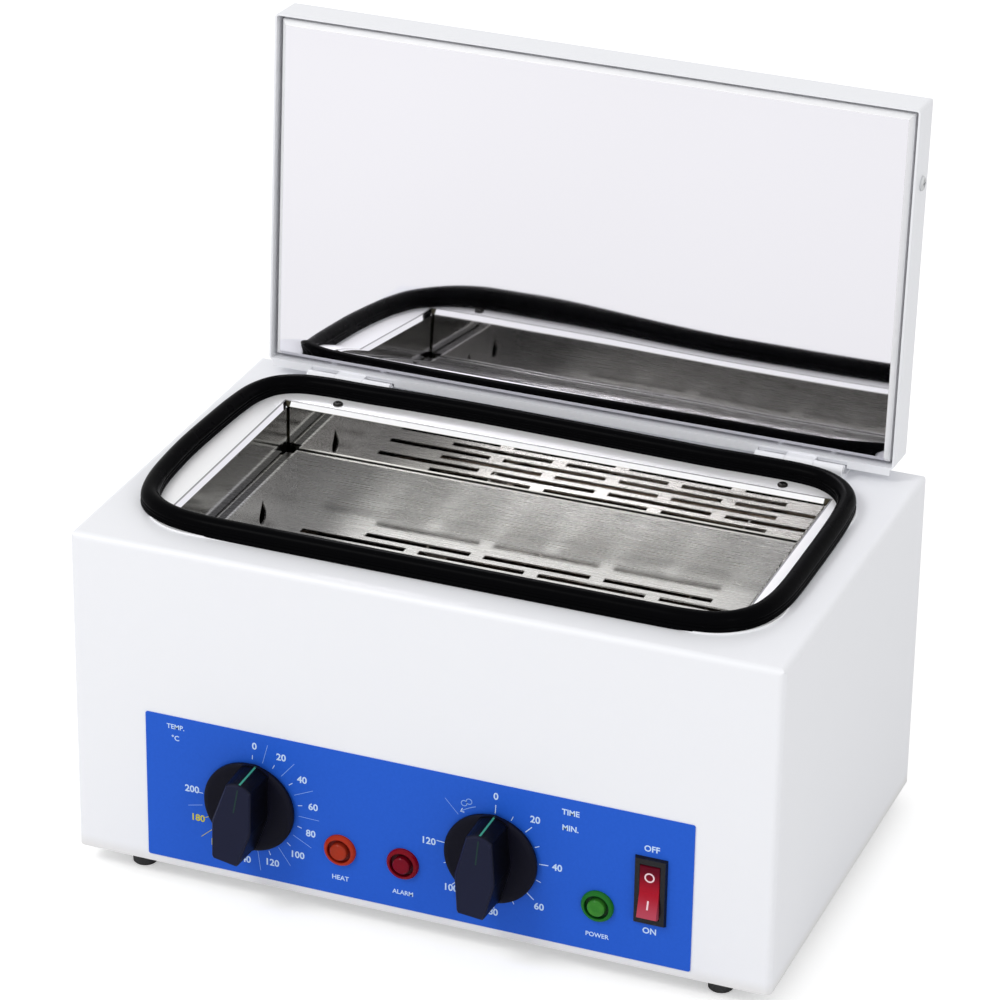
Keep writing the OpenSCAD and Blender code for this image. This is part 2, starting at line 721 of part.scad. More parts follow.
module thermostat_bulb() {
    color("silver") translate([inner_w / 2 + 6, bulb_y, floor_z + heater_rise]) rotate([0, -90, 0]) {
        cylinder(r = 1.1, h = bulb_in + 1);
        translate([0, 0, bulb_in]) rotate_extrude() polygon([[0, 0], [1.1, 0], [bulb_r, 3],
            [bulb_r, bulb_l - 2], [bulb_r - 1.6, bulb_l], [0, bulb_l]]);
    }
}

module bulb_clips() {
    color("silver") for (x = clip_x)
        translate([x, bulb_y, floor_z]) difference() {
            union() {
                block(8, 4 * bulb_r, 1);
                translate([0, 0, heater_rise]) rotate([0, 90, 0]) translate([0, 0, -4])
                    cylinder(r = bulb_r + 1, h = 8);
                block(8, 2, heater_rise - bulb_r);
            }
            translate([-5, 0, heater_rise]) rotate([0, 90, 0]) cylinder(r = bulb_r + 0.1, h = 10);
            translate([-5, -bulb_r * 0.7, heater_rise]) cube([10, bulb_r * 1.4, 8]);
        }
}

module safety_cutout() {
    color("dimgray") translate([cutout_x, chamber_y, floor_z - steel_t]) mirror([0, 0, 1]) {
        cylinder(r = cutout_r, h = 1);
        cylinder(r = cutout_r - 1, h = cutout_h);
        for (side = [-1, 1]) translate([side * 4, 0, cutout_h - 1]) block(0.8, 5, 7);
    }
}

// A switchgear body behind the front, with a bush through it for the shaft
module control_body(size) {
    difference() {
        union() {
            translate([0, 0, -sheet_t - size[2]]) linear_extrude(size[2])
                rounded_rect(size[0], size[1], 3);
            translate([0, 0, -sheet_t - cut]) cylinder(r = bush_r, h = sheet_t + cut + bush_out);
            for (side = [-1, 1]) translate([side * size[0] / 4, 0, -sheet_t - size[2] - 7])
                block(0.8, 6, 8);
        }
        translate([0, 0, -sheet_t - size[2] + 4]) cylinder(r = shaft_r + shaft_gap, h = size[2] + 20);
    }
}

module thermostat_body() {
    color("dimgray") on_front(temperature_x, control_z) control_body(thermostat_size);
}

module timer_body() {
    color("dimgray") on_front(timer_x, control_z) control_body(timer_size);
}

module bush_nuts() {
    color("silver") for (x = [temperature_x, timer_x]) on_front(x, control_z)
        translate([0, 0, label_t]) difference() {
            cylinder(r = bush_nut_r, h = bush_nut_h, $fn = 6);
            translate([0, 0, -cut]) cylinder(r = bush_r + 0.05, h = bush_nut_h + 2 * cut);
        }
}

module control_shaft() {
    translate([0, 0, -sheet_t - 20]) difference() {
        cylinder(r = shaft_r, h = sheet_t + 20 + shaft_out);
        translate([-shaft_r, shaft_r * 0.6, sheet_t + 20 + bush_out + 1]) cube([2 * shaft_r, shaft_r, 20]);
    }
}

module thermostat_shaft() {
    color("silver") on_front(temperature_x, control_z) rotate(-temperature_turn) control_shaft();
}

module timer_shaft() {
    color("silver") on_front(timer_x, control_z) rotate(-timer_turn) control_shaft();
}

// A skirted wing knob with its pointer end up
module knob() {
    draft = [0.94, 0.985];
    crown_h = 1.2;
    translate([0, 0, label_t + knob_gap]) difference() {
        union() {
            rotate_extrude() polygon([[0, 0], [skirt_r - 0.5, 0], [skirt_r, 0.5], [skirt_r, skirt_t - 1.1],
                [skirt_r - 0.5, skirt_t - 0.5], [skirt_r - 1.2, skirt_t - 0.2], [skirt_r - 2.4, skirt_t],
                [0, skirt_t]]);
            translate([0, 0, skirt_t / 2]) linear_extrude(skirt_t / 2 + wing_bead)
                offset(r = wing_bead, $fn = 24) wing_outline();
            translate([0, 0, skirt_t / 2])
                linear_extrude(skirt_t / 2 + wing_h - crown_h, scale = draft, slices = 1) wing_outline();
            translate([0, 0, skirt_t + wing_h - crown_h])
                linear_extrude(crown_h, scale = [0.9, 0.96], slices = 1) scale(draft) wing_outline();
        }
        translate([0, 0, -cut]) cylinder(r = knob_recess_r, h = knob_recess_h + cut);
        translate([0, 0, -cut])
            cylinder(r = shaft_r + shaft_gap, h = shaft_out - label_t - knob_gap + 0.5 + cut);
    }
}

// The wing seen from the front: a round pointer end above, the grip end below, mirrored about Y
module wing_outline() {
    tip = skirt_r + wing_nose;
    heel = skirt_r - 2;
    end_x = wing_end_w / 2;
    nose_r = (end_x * end_x + wing_round * wing_round) / (2 * wing_round);
    nose_turn = asin(end_x / nose_r);
    side = concat([for (share = [0.2:0.2:1])
            [nose_r * sin(share * nose_turn), tip - nose_r * (1 - cos(share * nose_turn))]],
        [[wing_w / 2, 0], [wing_w * 0.49, -heel * 0.12], [end_x + 0.5, -heel * 0.94],
            [end_x - 0.3, -heel]]);
    polygon(concat([[0, tip]], side, [for (i = [len(side) - 1:-1:0]) [-side[i][0], side[i][1]]]));
}

module temperature_knob() {
    color("black") on_front(temperature_x, control_z) rotate(-temperature_turn) knob();
}

module timer_knob() {
    color("black") on_front(timer_x, control_z) rotate(-timer_turn) knob();
}

// A stepped lens: stem, rim, groove and raised middle
module lamp_lens(x) {
    on_front(x, lamp_z) translate([0, 0, label_t]) rotate_extrude() polygon([[0, -lens_stem_l],
        [lens_stem_r, -lens_stem_l], [lens_stem_r, 0], [lens_r, 0], [lens_r, 0.9],
        [lens_r - 0.5, 1.7], [lens_r - 1.3, 2.2], [lens_r - 1.9, 2.1], [lens_r - 2.3, 0.6],
        [lens_r - 3.5, 0.6], [lens_r - 3.7, lens_h - 0.6], [lens_r - 4.3, lens_h - 0.1], [0, lens_h]]);
}

module lamp_lens_amber() {
    color("orangered") lamp_lens(lamp_x[0]);
}

module lamp_lens_red() {
    color("darkred") lamp_lens(lamp_x[1]);
}

module lamp_lens_green() {
    color("green") lamp_lens(lamp_x[2]);
}

module lamp_barrels() {
    color("dimgray") for (x = lamp_x) on_front(x, lamp_z) difference() {
        union() {
            translate([0, 0, label_t - barrel_l]) cylinder(r = barrel_r, h = barrel_l);
            for (side = [-1, 1]) translate([side * 3, 0, label_t - barrel_l - 6]) block(0.8, 4, 7);
        }
        translate([0, 0, label_t - lens_stem_l - 4])
            cylinder(r = lens_stem_r + 0.1, h = lens_stem_l + 4 + cut);
    }
}

module lamp_nuts() {
    color("silver") for (x = lamp_x) on_front(x, lamp_z)
        translate([0, 0, -sheet_t - lamp_nut_h]) difference() {
            cylinder(r = lamp_nut_r, h = lamp_nut_h, $fn = 6);
            translate([0, 0, -cut]) cylinder(r = barrel_r + 0.05, h = lamp_nut_h + 2 * cut);
        }
}

module switch_body() {
    color("black") on_front(switch_x, control_z) difference() {
        union() {
            translate([0, 0, label_t]) frustum([bezel_w, bezel_h], [bezel_w - 1.2, bezel_h - 1.2], bezel_t);
            translate([0, 0, label_t - switch_depth])
                block(switch_body_w, switch_body_h, switch_depth + cut / 2);
            for (y = [-9, 0, 9]) translate([0, y, label_t - switch_depth - 7]) block(4.8, 0.8, 8);
        }
        translate([0, 0, label_t + bezel_t - rocker_room]) linear_extrude(rocker_room + cut)
            square([rocker_w + 2 * rocker_clear, 2 * rocker_r + 2 * rocker_clear], center = true);
        translate([-rocker_w / 2 - 1, 0, label_t + bezel_t - rocker_pivot]) rotate([0, 90, 0])
            cylinder(r = rocker_pin_r + 0.05, h = rocker_w + 2);
    }
}

// The rocker's side outline: x points out of the panel and y points up, about its pivot
module rocker_outline() {
    flush = rocker_pivot + 0.4;
    intersection() {
        circle(rocker_r);
        polygon([[flush, 0], [flush, rocker_r + cut],
            [-rocker_back, rocker_r + cut], [-rocker_back, 0],
            [-rocker_back * cos(rocker_travel), -rocker_back * sin(rocker_travel)],
            [-rocker_back * cos(rocker_travel) + (rocker_r + cut) * sin(rocker_travel),
                -rocker_back * sin(rocker_travel) - (rocker_r + cut) * cos(rocker_travel)],
            [flush + (rocker_r + cut) * tan(rocker_travel), -rocker_r - cut]]);
    }
}

module switch_rocker() {
    color("crimson") on_front(switch_x, control_z) translate([0, 0, label_t + bezel_t - rocker_pivot]) {
        translate([rocker_w / 2, 0, 0]) rotate([0, -90, 0]) linear_extrude(rocker_w) rocker_outline();
        translate([-rocker_w / 2 - 0.9, 0, 0]) rotate([0, 90, 0])
            cylinder(r = rocker_pin_r, h = rocker_w + 1.8);
    }
}

module terminal_block() {
    base = terminal_base;
    size = terminal_size;
    color("ivory") translate([-body_w / 4, body_d / 4, foot_h]) difference() {
        union() {
            block(base[0], base[1], base[2]);
            at_terminals() block(size[0], size[1], size[2]);
        }
        at_terminals() translate([0, base[1], base[2] * 1.25]) rotate([90, 0, 0])
            cylinder(r = terminal_wire_r, h = 2 * base[1]);
    }
}

module at_terminals() {
    for (i = [0:terminal_count - 1])
        translate([(i - (terminal_count - 1) / 2) * terminal_pitch, 0, 0]) children();
}

module cord_gland() {
    color("black") on_rear(gland_x, gland_z) difference() {
        union() {
            translate([0, 0, -sheet_t - gland_tail]) cylinder(r = gland_r, h = gland_tail + sheet_t + cut);
            cylinder(r = gland_hex_r, h = gland_hex_h, $fn = 6);
            translate([0, 0, gland_hex_h]) rotate_extrude() polygon([[0, 0], [gland_r + 1, 0],
                [gland_r + 1, gland_cap_h / 2], [gland_r - 2, gland_cap_h], [0, gland_cap_h]]);
            translate([0, 0, -sheet_t - gland_nut_h]) cylinder(r = gland_hex_r, h = gland_nut_h, $fn = 6);
        }
        translate([0, 0, -sheet_t - gland_tail - cut])
            cylinder(r = gland_bore_r, h = gland_tail + sheet_t + gland_hex_h + gland_cap_h + 2 * cut);
    }
}

// The two screw places of one hinge, along X, at the depth of the bracket's middle
module hinge_screw_places() {
    for (side = [-1, 1]) translate([side * hinge_screw_x, hinge_y + bracket_d * 0.55, 0]) children();
}

// Fixed bracket: two knuckle lugs on a sheet foot whose rear lip stops the open lid
module hinge_brackets() {
    drop = -hinge_rise;
    stop_z = stop_height();
    color("whitesmoke") at_hinges() difference() {
        union() {
            for (start = [-hinge_l / 2, knuckle_l / 2])
                translate([start, hinge_y, hinge_z]) rotate([90, 0, 90]) linear_extrude(knuckle_l) {
                    circle(knuckle_r);
                    translate([-knuckle_r, drop]) square([2 * knuckle_r, -drop]);
                }
            translate([-hinge_l / 2, hinge_y, hinge_z]) rotate([90, 0, 90]) linear_extrude(hinge_l)
                polygon([[-knuckle_r, drop], [bracket_d, drop], [bracket_d, stop_z],
                    [bracket_d - leaf_t, stop_z + leaf_t * tan(lid_open - 90)],
                    [bracket_d - leaf_t, drop + sheet_t], [-knuckle_r, drop + sheet_t]]);
        }
        translate([-hinge_l / 2 - cut, hinge_y, hinge_z]) rotate([0, 90, 0])
            cylinder(r = pin_r + 0.02, h = hinge_l + 2 * cut);
        translate([-knuckle_l / 2, hinge_y, hinge_z]) rotate([0, 90, 0])
            cylinder(r = knuckle_r + 0.2, h = knuckle_l);
        hinge_screw_places() translate([0, 0, deck_z - cut])
            cylinder(r = screw_r + screw_room, h = sheet_t + 2 * cut);
    }
}

// Height over the hinge axis at which the open lid's leaf lies on the bracket's rear lip
function stop_height() =
    let (turn = lid_open)
    (knuckle_r - leaf_t) / sin(turn) + bracket_d * cos(turn) / sin(turn) - stop_clear;

module hinge_pins() {
    color("silver") at_hinges() translate([-hinge_l / 2 - 0.6, hinge_y, hinge_z]) rotate([0, 90, 0])
        cylinder(r = pin_r, h = hinge_l + 1.2);
}

module hinge_screws() {
    color("silver") at_hinges() hinge_screw_places() translate([0, 0, deck_z + sheet_t])
        screw(2 * sheet_t + hinge_tail, screw_r, head_r, head_h * 0.75);
}

module lid_shell() {
    color("whitesmoke") swung_open() difference() {
        union() {
            translate([0, lid_mid_y, rim_z]) folded_box(lid_w, lid_d, lid_t, lid_r);
            translate([-lid_w / 2 + lid_r, lid_rear_y - lid_sheet_t, rim_z])
                cube([lid_w - 2 * lid_r, rear_lip + lid_sheet_t, lid_sheet_t]);
        }
        at_hinges() translate([-hinge_l / 2 - hole_clear, lid_rear_y, rim_z - cut])
            cube([hinge_l + 2 * hole_clear, rear_lip + cut, lid_sheet_t + 2 * cut]);
        translate([0, lid_mid_y, rim_z - cut]) linear_extrude(lid_t - lid_sheet_t + cut)
            rounded_rect(lid_w - 2 * lid_sheet_t, lid_d - 2 * lid_sheet_t, lid_r - lid_sheet_t);
        at_handle_screws() translate([0, 0, lid_top_z - lid_sheet_t - cut])
            cylinder(r = screw_r + screw_room, h = lid_sheet_t + 2 * cut);
        at_side_screws() cylinder(r = side_screw_r + screw_room, h = 6 * lid_sheet_t, center = true);
        at_leaf_screws() cylinder(r = screw_r + screw_room, h = 6 * lid_sheet_t, center = true);
    }
}

// The side screws' places on the closed lid, with local z pointing out of the side
module at_side_screws() {
    for (side = [-1, 1]) translate([side * lid_w / 2, lid_front_y + side_screw_y, rim_z + side_screw_rise])
        rotate([0, side * 90, 0]) children();
}

module at_handle_screws() {
    for (side = [-1, 1])
        translate([side * (handle_l / 2 - handle_screw_in), lid_front_y + handle_y, 0]) children();
}

// The leaf screws' places on the closed lid, with local z pointing out of the rear
module at_leaf_screws() {
    at_hinges() for (side = [-1, 1])
        translate([side * hinge_screw_x, lid_rear_y, rim_z + leaf_screw_rise])
            rotate([-90, 0, 0]) children();
}

// The mirror panel: a shallow folded pan with a bevelled edge, open towards the lid's outside
module lid_panel() {
    side_h = panel_fold - panel_bevel;
    t = steel_t;
    color("silver") swung_open() translate([0, lid_mid_y, panel_z]) difference() {
        union() {
            frustum([panel_out_w - 2 * panel_bevel, panel_out_d - 2 * panel_bevel],
                [panel_out_w, panel_out_d], panel_bevel);
            translate([0, 0, panel_bevel]) block(panel_out_w, panel_out_d, side_h);
        }
        translate([0, -lid_mid_y, -panel_z]) at_side_screws()
            cylinder(r = side_screw_r + screw_room, h = 6 * (lid_sheet_t + panel_gap), center = true);
        translate([0, 0, t]) frustum([panel_out_w - 2 * panel_bevel - t, panel_out_d - 2 * panel_bevel - t],
            [panel_out_w - 2 * t, panel_out_d - 2 * t], panel_bevel - t / 2);
        translate([0, 0, panel_bevel + t / 2 - cut / 100])
            block(panel_out_w - 2 * t, panel_out_d - 2 * t, side_h + cut);
    }
}

module lid_insulation() {
    color("khaki") swung_open() translate([0, lid_mid_y, panel_z + steel_t + wool_clear])
        block(panel_out_w - 4 * panel_bevel, panel_out_d - 4 * panel_bevel,
            lid_t - lid_sheet_t - panel_recess - steel_t - 2 * wool_clear - head_h);
}

module lid_side_screws() {
    color("silver") swung_open() at_side_screws()
        screw(lid_sheet_t + panel_gap + 3 * steel_t, side_screw_r, side_head_r, side_head_h);
}

// Moving leaf: a knuckle and a plate that wraps onto the lid's rear wall
module lid_leaves() {
    mid_l = knuckle_l - 2 * knuckle_side_gap;
    color("whitesmoke") swung_open() at_hinges() difference() {
        union() {
            translate([-mid_l / 2, hinge_y, hinge_z]) rotate([0, 90, 0]) cylinder(r = knuckle_r, h = mid_l);
            translate([-mid_l / 2, lid_rear_y, hinge_z]) cube([mid_l, leaf_t, rim_z - hinge_z + 1]);
            translate([-hinge_l / 2, lid_rear_y, rim_z + leaf_foot_gap]) cube([hinge_l, leaf_t, leaf_h]);
        }
        translate([-hinge_l / 2, hinge_y, hinge_z]) rotate([0, 90, 0])
            cylinder(r = pin_r + pin_gap, h = hinge_l);
        for (side = [-1, 1]) translate([side * hinge_screw_x, lid_rear_y, rim_z + leaf_screw_rise])
            rotate([-90, 0, 0]) cylinder(r = screw_r + screw_room, h = 4 * leaf_t, center = true);
    }
}

module leaf_screws() {
    color("silver") swung_open() at_leaf_screws() translate([0, 0, leaf_t])
        screw(leaf_t + 2 * lid_sheet_t, screw_r, head_r, head_h * 0.7);
}

// A low bow handle with a finger gap under its grip
module lid_handle() {
    color("black") swung_open() translate([0, lid_front_y + handle_y, lid_top_z]) difference() {
        intersection() {
            translate([0, handle_w / 2, 0]) rotate([90, 0, 0]) linear_extrude(handle_w) handle_outline();
            translate([-handle_l / 2, 0, 0]) rotate([90, 0, 90]) linear_extrude(handle_l)
                rounded_rect(handle_w, 2 * handle_h, grip_t / 2);
            linear_extrude(handle_h) rounded_rect(handle_l, handle_w, handle_w * 0.36);
        }
        for (side = [-1, 1]) translate([side * (handle_l / 2 - handle_screw_in), 0, -cut])
            cylinder(r = screw_r + 0.03, h = handle_tail + 2 * cut);
    }
}

module handle_outline() {
    difference() {
        rounded_rect(handle_l, 2 * handle_h, handle_round * 1.5);
        rounded_rect(handle_l - 2 * handle_foot_l, 2 * (handle_h - grip_t), handle_round);
    }
}

module handle_screws() {
    color("silver") swung_open() at_handle_screws() translate([0, 0, lid_top_z - lid_sheet_t])
        mirror([0, 0, 1]) screw(lid_sheet_t + handle_tail, screw_r, head_r, head_h * 0.9);
}

module tray() {
    in_w = tray_out_w - 2 * steel_t;
    in_d = tray_out_d - 2 * steel_t;
    color("lightgray") translate([0, chamber_y, 0]) difference() {
        union() {
            translate([0, 0, tray_floor_z - steel_t]) block(tray_out_w, tray_out_d, tray_h + steel_t);
            translate([0, 0, tray_rim_z - steel_t])
                block(tray_out_w + 2 * tray_flange_w, tray_out_d - 2 * flange_notch, steel_t);
        }
        difference() {
            translate([0, 0, tray_floor_z]) block(in_w, in_d, tray_h + cut);
            for (side = [-1, 1]) translate([0, side * (in_d - steel_t) / 2, tray_rim_z - tray_hem_h])
                block(in_w, steel_t, tray_hem_h + 2 * cut);
        }
        translate([0, 0, tray_rim_z]) block(tray_out_w, tray_out_d, 3 * cut);
        floor_slots();
        for (end = [-1, 1], side = [-1, 1])
            translate([end * tray_out_w / 2, side * hook_hole_y, tray_floor_z + hook_hole_rise])
                rotate([90, 0, 90]) linear_extrude(4 * steel_t, center = true) hook_hole();
    }
}

// A drop-shaped hole for a tray hook: a round foot with two tangents to a point above
module hook_hole() {
    point_h = hook_hole_h - hook_hole_r;
    turn = asin(hook_hole_r / point_h);
    translate([0, hook_hole_r - hook_hole_h / 2]) {
        circle(hook_hole_r);
        polygon([[0, point_h], [hook_hole_r * cos(turn), hook_hole_r * sin(turn)], [0, 0],
            [-hook_hole_r * cos(turn), hook_hole_r * sin(turn)]]);
    }
}

// Long slots in staggered rows
module floor_slots() {
    for (row = [0:slot_rows - 1]) {
        y = (row - (slot_rows - 1) / 2) * slot_pitch_y;
        count = row % 2 == 0 ? 3 : 4;
        for (i = [0:count - 1])
            translate([(i - (count - 1) / 2) * slot_pitch_x - slot_shift, y, tray_floor_z - steel_t - cut])
                block(slot_l, slot_w, steel_t + 2 * cut);
    }
}

housing();
base_plate();
base_screws();
feet();
foot_screws();
control_label();
chamber();
flange_screws();
tray_rails();
seal();
chamber_insulation();
heater();
heater_brackets();
thermostat_bulb();
bulb_clips();
safety_cutout();
thermostat_body();
timer_body();
bush_nuts();
lamp_lens_amber();
lamp_lens_red();
lamp_lens_green();
lamp_barrels();
lamp_nuts();
switch_body();
switch_rocker();
terminal_block();
cord_gland();
hinge_brackets();
hinge_pins();
hinge_screws();
temperature_knob();
thermostat_shaft();
timer_knob();
timer_shaft();
tray();
lid_shell();
lid_panel();
lid_insulation();
lid_side_screws();
lid_leaves();
leaf_screws();
lid_handle();
handle_screws();
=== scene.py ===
# %% [markdown]
# # Dressing a dry heat sterilizer
#
# The part is a small bench oven: a white painted steel cabinet, a polished chamber let into its
# deck, a rubber seal round the chamber's mouth and a mirror-lined lid that stands open behind it.
# The solids come from a CAD model, which this script loads as a fixed frame. A CAD shape can't be
# moved here, so every new piece takes its place from the CAD nodes around it.
#
# This lesson gives each solid a finish, then adds what solids alone don't show: the seal as the
# soft rubber lies, the print on the dials, the marks on the switch and the lines on the knobs.

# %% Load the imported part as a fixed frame
import json
import math

import bmesh
import bpy
from mathutils import Matrix, Vector
from mathutils.bvhtree import BVHTree

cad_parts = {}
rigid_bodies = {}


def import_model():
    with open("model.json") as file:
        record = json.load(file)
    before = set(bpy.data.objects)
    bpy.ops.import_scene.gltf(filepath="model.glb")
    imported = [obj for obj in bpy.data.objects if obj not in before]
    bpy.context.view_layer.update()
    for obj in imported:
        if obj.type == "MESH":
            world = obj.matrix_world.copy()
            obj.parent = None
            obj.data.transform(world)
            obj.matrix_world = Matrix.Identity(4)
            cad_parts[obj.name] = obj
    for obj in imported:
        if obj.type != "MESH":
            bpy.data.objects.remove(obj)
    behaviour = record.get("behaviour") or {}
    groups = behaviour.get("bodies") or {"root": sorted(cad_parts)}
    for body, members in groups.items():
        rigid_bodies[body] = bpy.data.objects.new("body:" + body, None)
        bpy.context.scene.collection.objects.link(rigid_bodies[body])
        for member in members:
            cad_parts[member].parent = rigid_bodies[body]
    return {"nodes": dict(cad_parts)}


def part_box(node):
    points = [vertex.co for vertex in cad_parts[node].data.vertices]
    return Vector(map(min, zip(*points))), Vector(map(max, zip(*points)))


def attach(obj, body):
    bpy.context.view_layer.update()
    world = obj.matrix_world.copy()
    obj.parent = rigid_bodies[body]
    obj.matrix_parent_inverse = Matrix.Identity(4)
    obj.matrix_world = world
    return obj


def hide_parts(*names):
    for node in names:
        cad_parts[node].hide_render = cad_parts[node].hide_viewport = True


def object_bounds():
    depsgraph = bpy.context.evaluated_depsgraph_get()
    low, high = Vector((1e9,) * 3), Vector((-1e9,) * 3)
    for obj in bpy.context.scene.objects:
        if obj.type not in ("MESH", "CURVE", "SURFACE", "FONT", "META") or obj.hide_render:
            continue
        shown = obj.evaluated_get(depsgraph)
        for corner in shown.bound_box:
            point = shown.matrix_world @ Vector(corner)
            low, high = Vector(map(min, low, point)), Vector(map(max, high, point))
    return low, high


for leftover in list(bpy.data.objects):
    bpy.data.objects.remove(leftover)

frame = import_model()
cad_low, cad_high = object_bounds()
nodes = frame["nodes"]
MM = 0.001
print("CAD box in mm:", [round(v / MM) for v in (*cad_low, *cad_high)])

# %% [markdown]
# ## Writing shader maths as Python
#
# A procedural finish is a small calculation on the position of a surface point. Blender stores
# it as a tree of nodes, which is hard to read back from a script. The class below wraps one
# socket of such a tree, so that an expression like `grain * 0.3 + 0.5` adds its Math nodes by
# itself. `Finish` starts a material around one Principled shader and has a single method, `add`,
# that makes any other node.

# %% A socket that can be calculated with
class Wire:
    """One output of a material's node tree, usable in Python arithmetic."""

    def __init__(self, finish, socket):
        self.finish = finish
        self.socket = socket

    def _math(self, operation, first, second=None):
        values = {0: first} if second is None else {0: first, 1: second}
        return self.finish.add("ShaderNodeMath", {"operation": operation}, values)

    def __add__(self, other):
        return self._math("ADD", self, other)

    __radd__ = __add__

    def __sub__(self, other):
        return self._math("SUBTRACT", self, other)

    def __rsub__(self, other):
        return self._math("SUBTRACT", other, self)

    def __mul__(self, other):
        return self._math("MULTIPLY", self, other)

    __rmul__ = __mul__

    def __truediv__(self, other):
        return self._math("DIVIDE", self, other)

    def __abs__(self):
        return self._math("ABSOLUTE", self)

    def root(self):
        return self._math("SQRT", self)

    def most(self, other):
        """The larger of the two."""
        return self._math("MAXIMUM", self, other)

    def rise(self, start, end):
        """0 up to start, 1 from end on, and a soft step between them."""
        return self.finish.add("ShaderNodeMapRange", {"interpolation_type": "SMOOTHSTEP"},
                               {0: self, 1: start, 2: end})

    def near(self, place, width):
        """1 at that place and 0 from that distance on."""
        return 1.0 - abs(self - place).rise(width * 0.4, width)


class Finish:
    """A material around one Principled shader."""

    def __init__(self, name, colour, roughness, metallic=0.0, coat=0.0, specular=0.5):
        self.material = bpy.data.materials.new(name)
        self.material.use_nodes = True
        self.tree = self.material.node_tree
        self.shader = self.tree.nodes["Principled BSDF"]
        self.set("Base Color", (*colour, 1.0))
        self.set("Roughness", roughness)
        self.set("Metallic", metallic)
        self.set("Coat Weight", coat)
        self.set("Specular IOR Level", specular)
        self.material.diffuse_color = (*colour, 1.0)

    def add(self, kind, settings=None, inputs=None, out=0):
        """A node of that kind, its settings made first, then its sockets. Returns one output."""
        node = self.tree.nodes.new(kind)
        for setting, value in (settings or {}).items():
            setattr(node, setting, value)
        for key, value in (inputs or {}).items():
            self._join(node.inputs[key], value)
        return Wire(self, node.outputs[out])

    def _join(self, socket, value):
        if isinstance(value, Wire):
            self.tree.links.new(value.socket, socket)
        else:
            socket.default_value = value

    def set(self, socket, value):
        self._join(self.shader.inputs[socket], value)
        return self

    def place(self):
        """The point on the object, in metres, in the frame that all pieces share."""
        return self.add("ShaderNodeTexCoord", out="Object")

    def axis(self, letter):
        """One coordinate of that point."""
        return self.add("ShaderNodeSeparateXYZ", None, {0: self.place()}, out=letter)

    def stretched(self, x, y, z):
        """The point, scaled along each axis, so that a pattern on it is drawn out the other way."""
        return self.add("ShaderNodeMapping", None, {"Vector": self.place(), "Scale": (x, y, z)})

    def noise(self, scale, detail=2.0, vector=None):
        """Smooth noise from 0 to 1, with that many lumps to the metre."""
        return self.add("ShaderNodeTexNoise", None,
                        {"Vector": vector or self.place(), "Scale": scale, "Detail": detail})

    def bump(self, height, depth, strength=1.0):
        """Dents and bumps in the surface, that many metres deep where height goes from 0 to 1."""
        return self.set("Normal", self.add("ShaderNodeBump", None,
                        {"Height": height, "Distance": depth, "Strength": strength}))

    def blend(self, factor, low, high):
        """A colour between two others, each of them plain or already blended."""
        low, high = (c if isinstance(c, Wire) else (*c, 1.0) for c in (low, high))
        return self.add("ShaderNodeMix", {"data_type": "RGBA"}, {0: factor, 6: low, 7: high}, out=2)


def srgb(red, green, blue):
    """A screen colour, 0 to 255, as the linear numbers that a shader takes."""
    def linear(v):
        v /= 255
        return v / 12.92 if v <= 0.04045 else ((v + 0.055) / 1.055) ** 2.4
    return tuple(linear(v) for v in (red, green, blue))


def paint(finish, *names):
    """Gives CAD nodes that finish."""
    for name in names:
        mesh = nodes[name].data
        mesh.materials.clear()
        mesh.materials.append(finish.material)
    print(finish.material.name, "on", ", ".join(names))

# %% [markdown]
# ## Paint
#
# Powder coat isn't quite flat: it dries with a very fine orange peel. Noise in the bump gives the
# peel, and a little noise in the roughness keeps the reflection from looking like plastic. The
# cabinet's colour greys a little towards its lower edge: painted shade near the floor. The hinges
# and the heads of their screws are coated together with the cabinet.

# %% White powder coat
COAT_WHITE = srgb(240, 241, 245)
COAT_SHADE_GREY = srgb(228, 227, 227)
SHADE_ENDS = (9 * MM, 17 * MM)
powder_coat = Finish("powder_coat", COAT_WHITE, 0.42, coat=0.1)
# The grey towards the lower edge is painted shade near the floor.
unshaded = powder_coat.axis("Z").rise(*SHADE_ENDS)
powder_coat.set("Base Color", powder_coat.blend(unshaded, COAT_SHADE_GREY, COAT_WHITE))
powder_coat.set("Roughness", powder_coat.noise(40, 3) * 0.1 + 0.38)
powder_coat.bump(powder_coat.noise(900, 2), 0.00004, 0.4)
paint(powder_coat, "housing", "lid_shell", "hinge_brackets", "lid_leaves", "hinge_screws",
      "leaf_screws")

# %% [markdown]
# ## The lid's mirror
#
# The lid's lining is mirror-polished stainless sheet. A sheet that is folded along its edges and
# held by them is never flat: it bellies a little, and close to its lower edge it curls. Both only
# show in what it mirrors, so they are made as a bump, whose height is worked out from the height
# `up` above the panel's lower edge and from X. Falling height tips the mirror back, and the
# mirrored chamber sinks. The slope is one number near the lower edge; between two heights it turns
# into `lean`, which differs from left to right. The fold along the other three edges is hardly
# polished, so it is paler and duller than the sheet.

# %% Mirror-polished sheet
POLISHED = (0.875, 0.865, 0.91)
FOLDED = (0.93, 0.93, 0.94)
LEAN_LOW = 0.0225
LEAN_LEFT = 0.019
LEAN_MIDDLE = 0.0035
LEAN_RIGHT = 0.015
LEFT_ENDS = (-120 * MM, -40 * MM)
RIGHT_STARTS = (-20 * MM, 80 * MM)
BEND_FROM = 33 * MM
BEND_TO = 57 * MM
CURL_HEIGHT = 11 * MM
CURL_DEPTH = 1.1 * MM
WAVE_DEPTH = 0.4 * MM
FOLD_STARTS = (-2.6 * MM, -2.0 * MM)

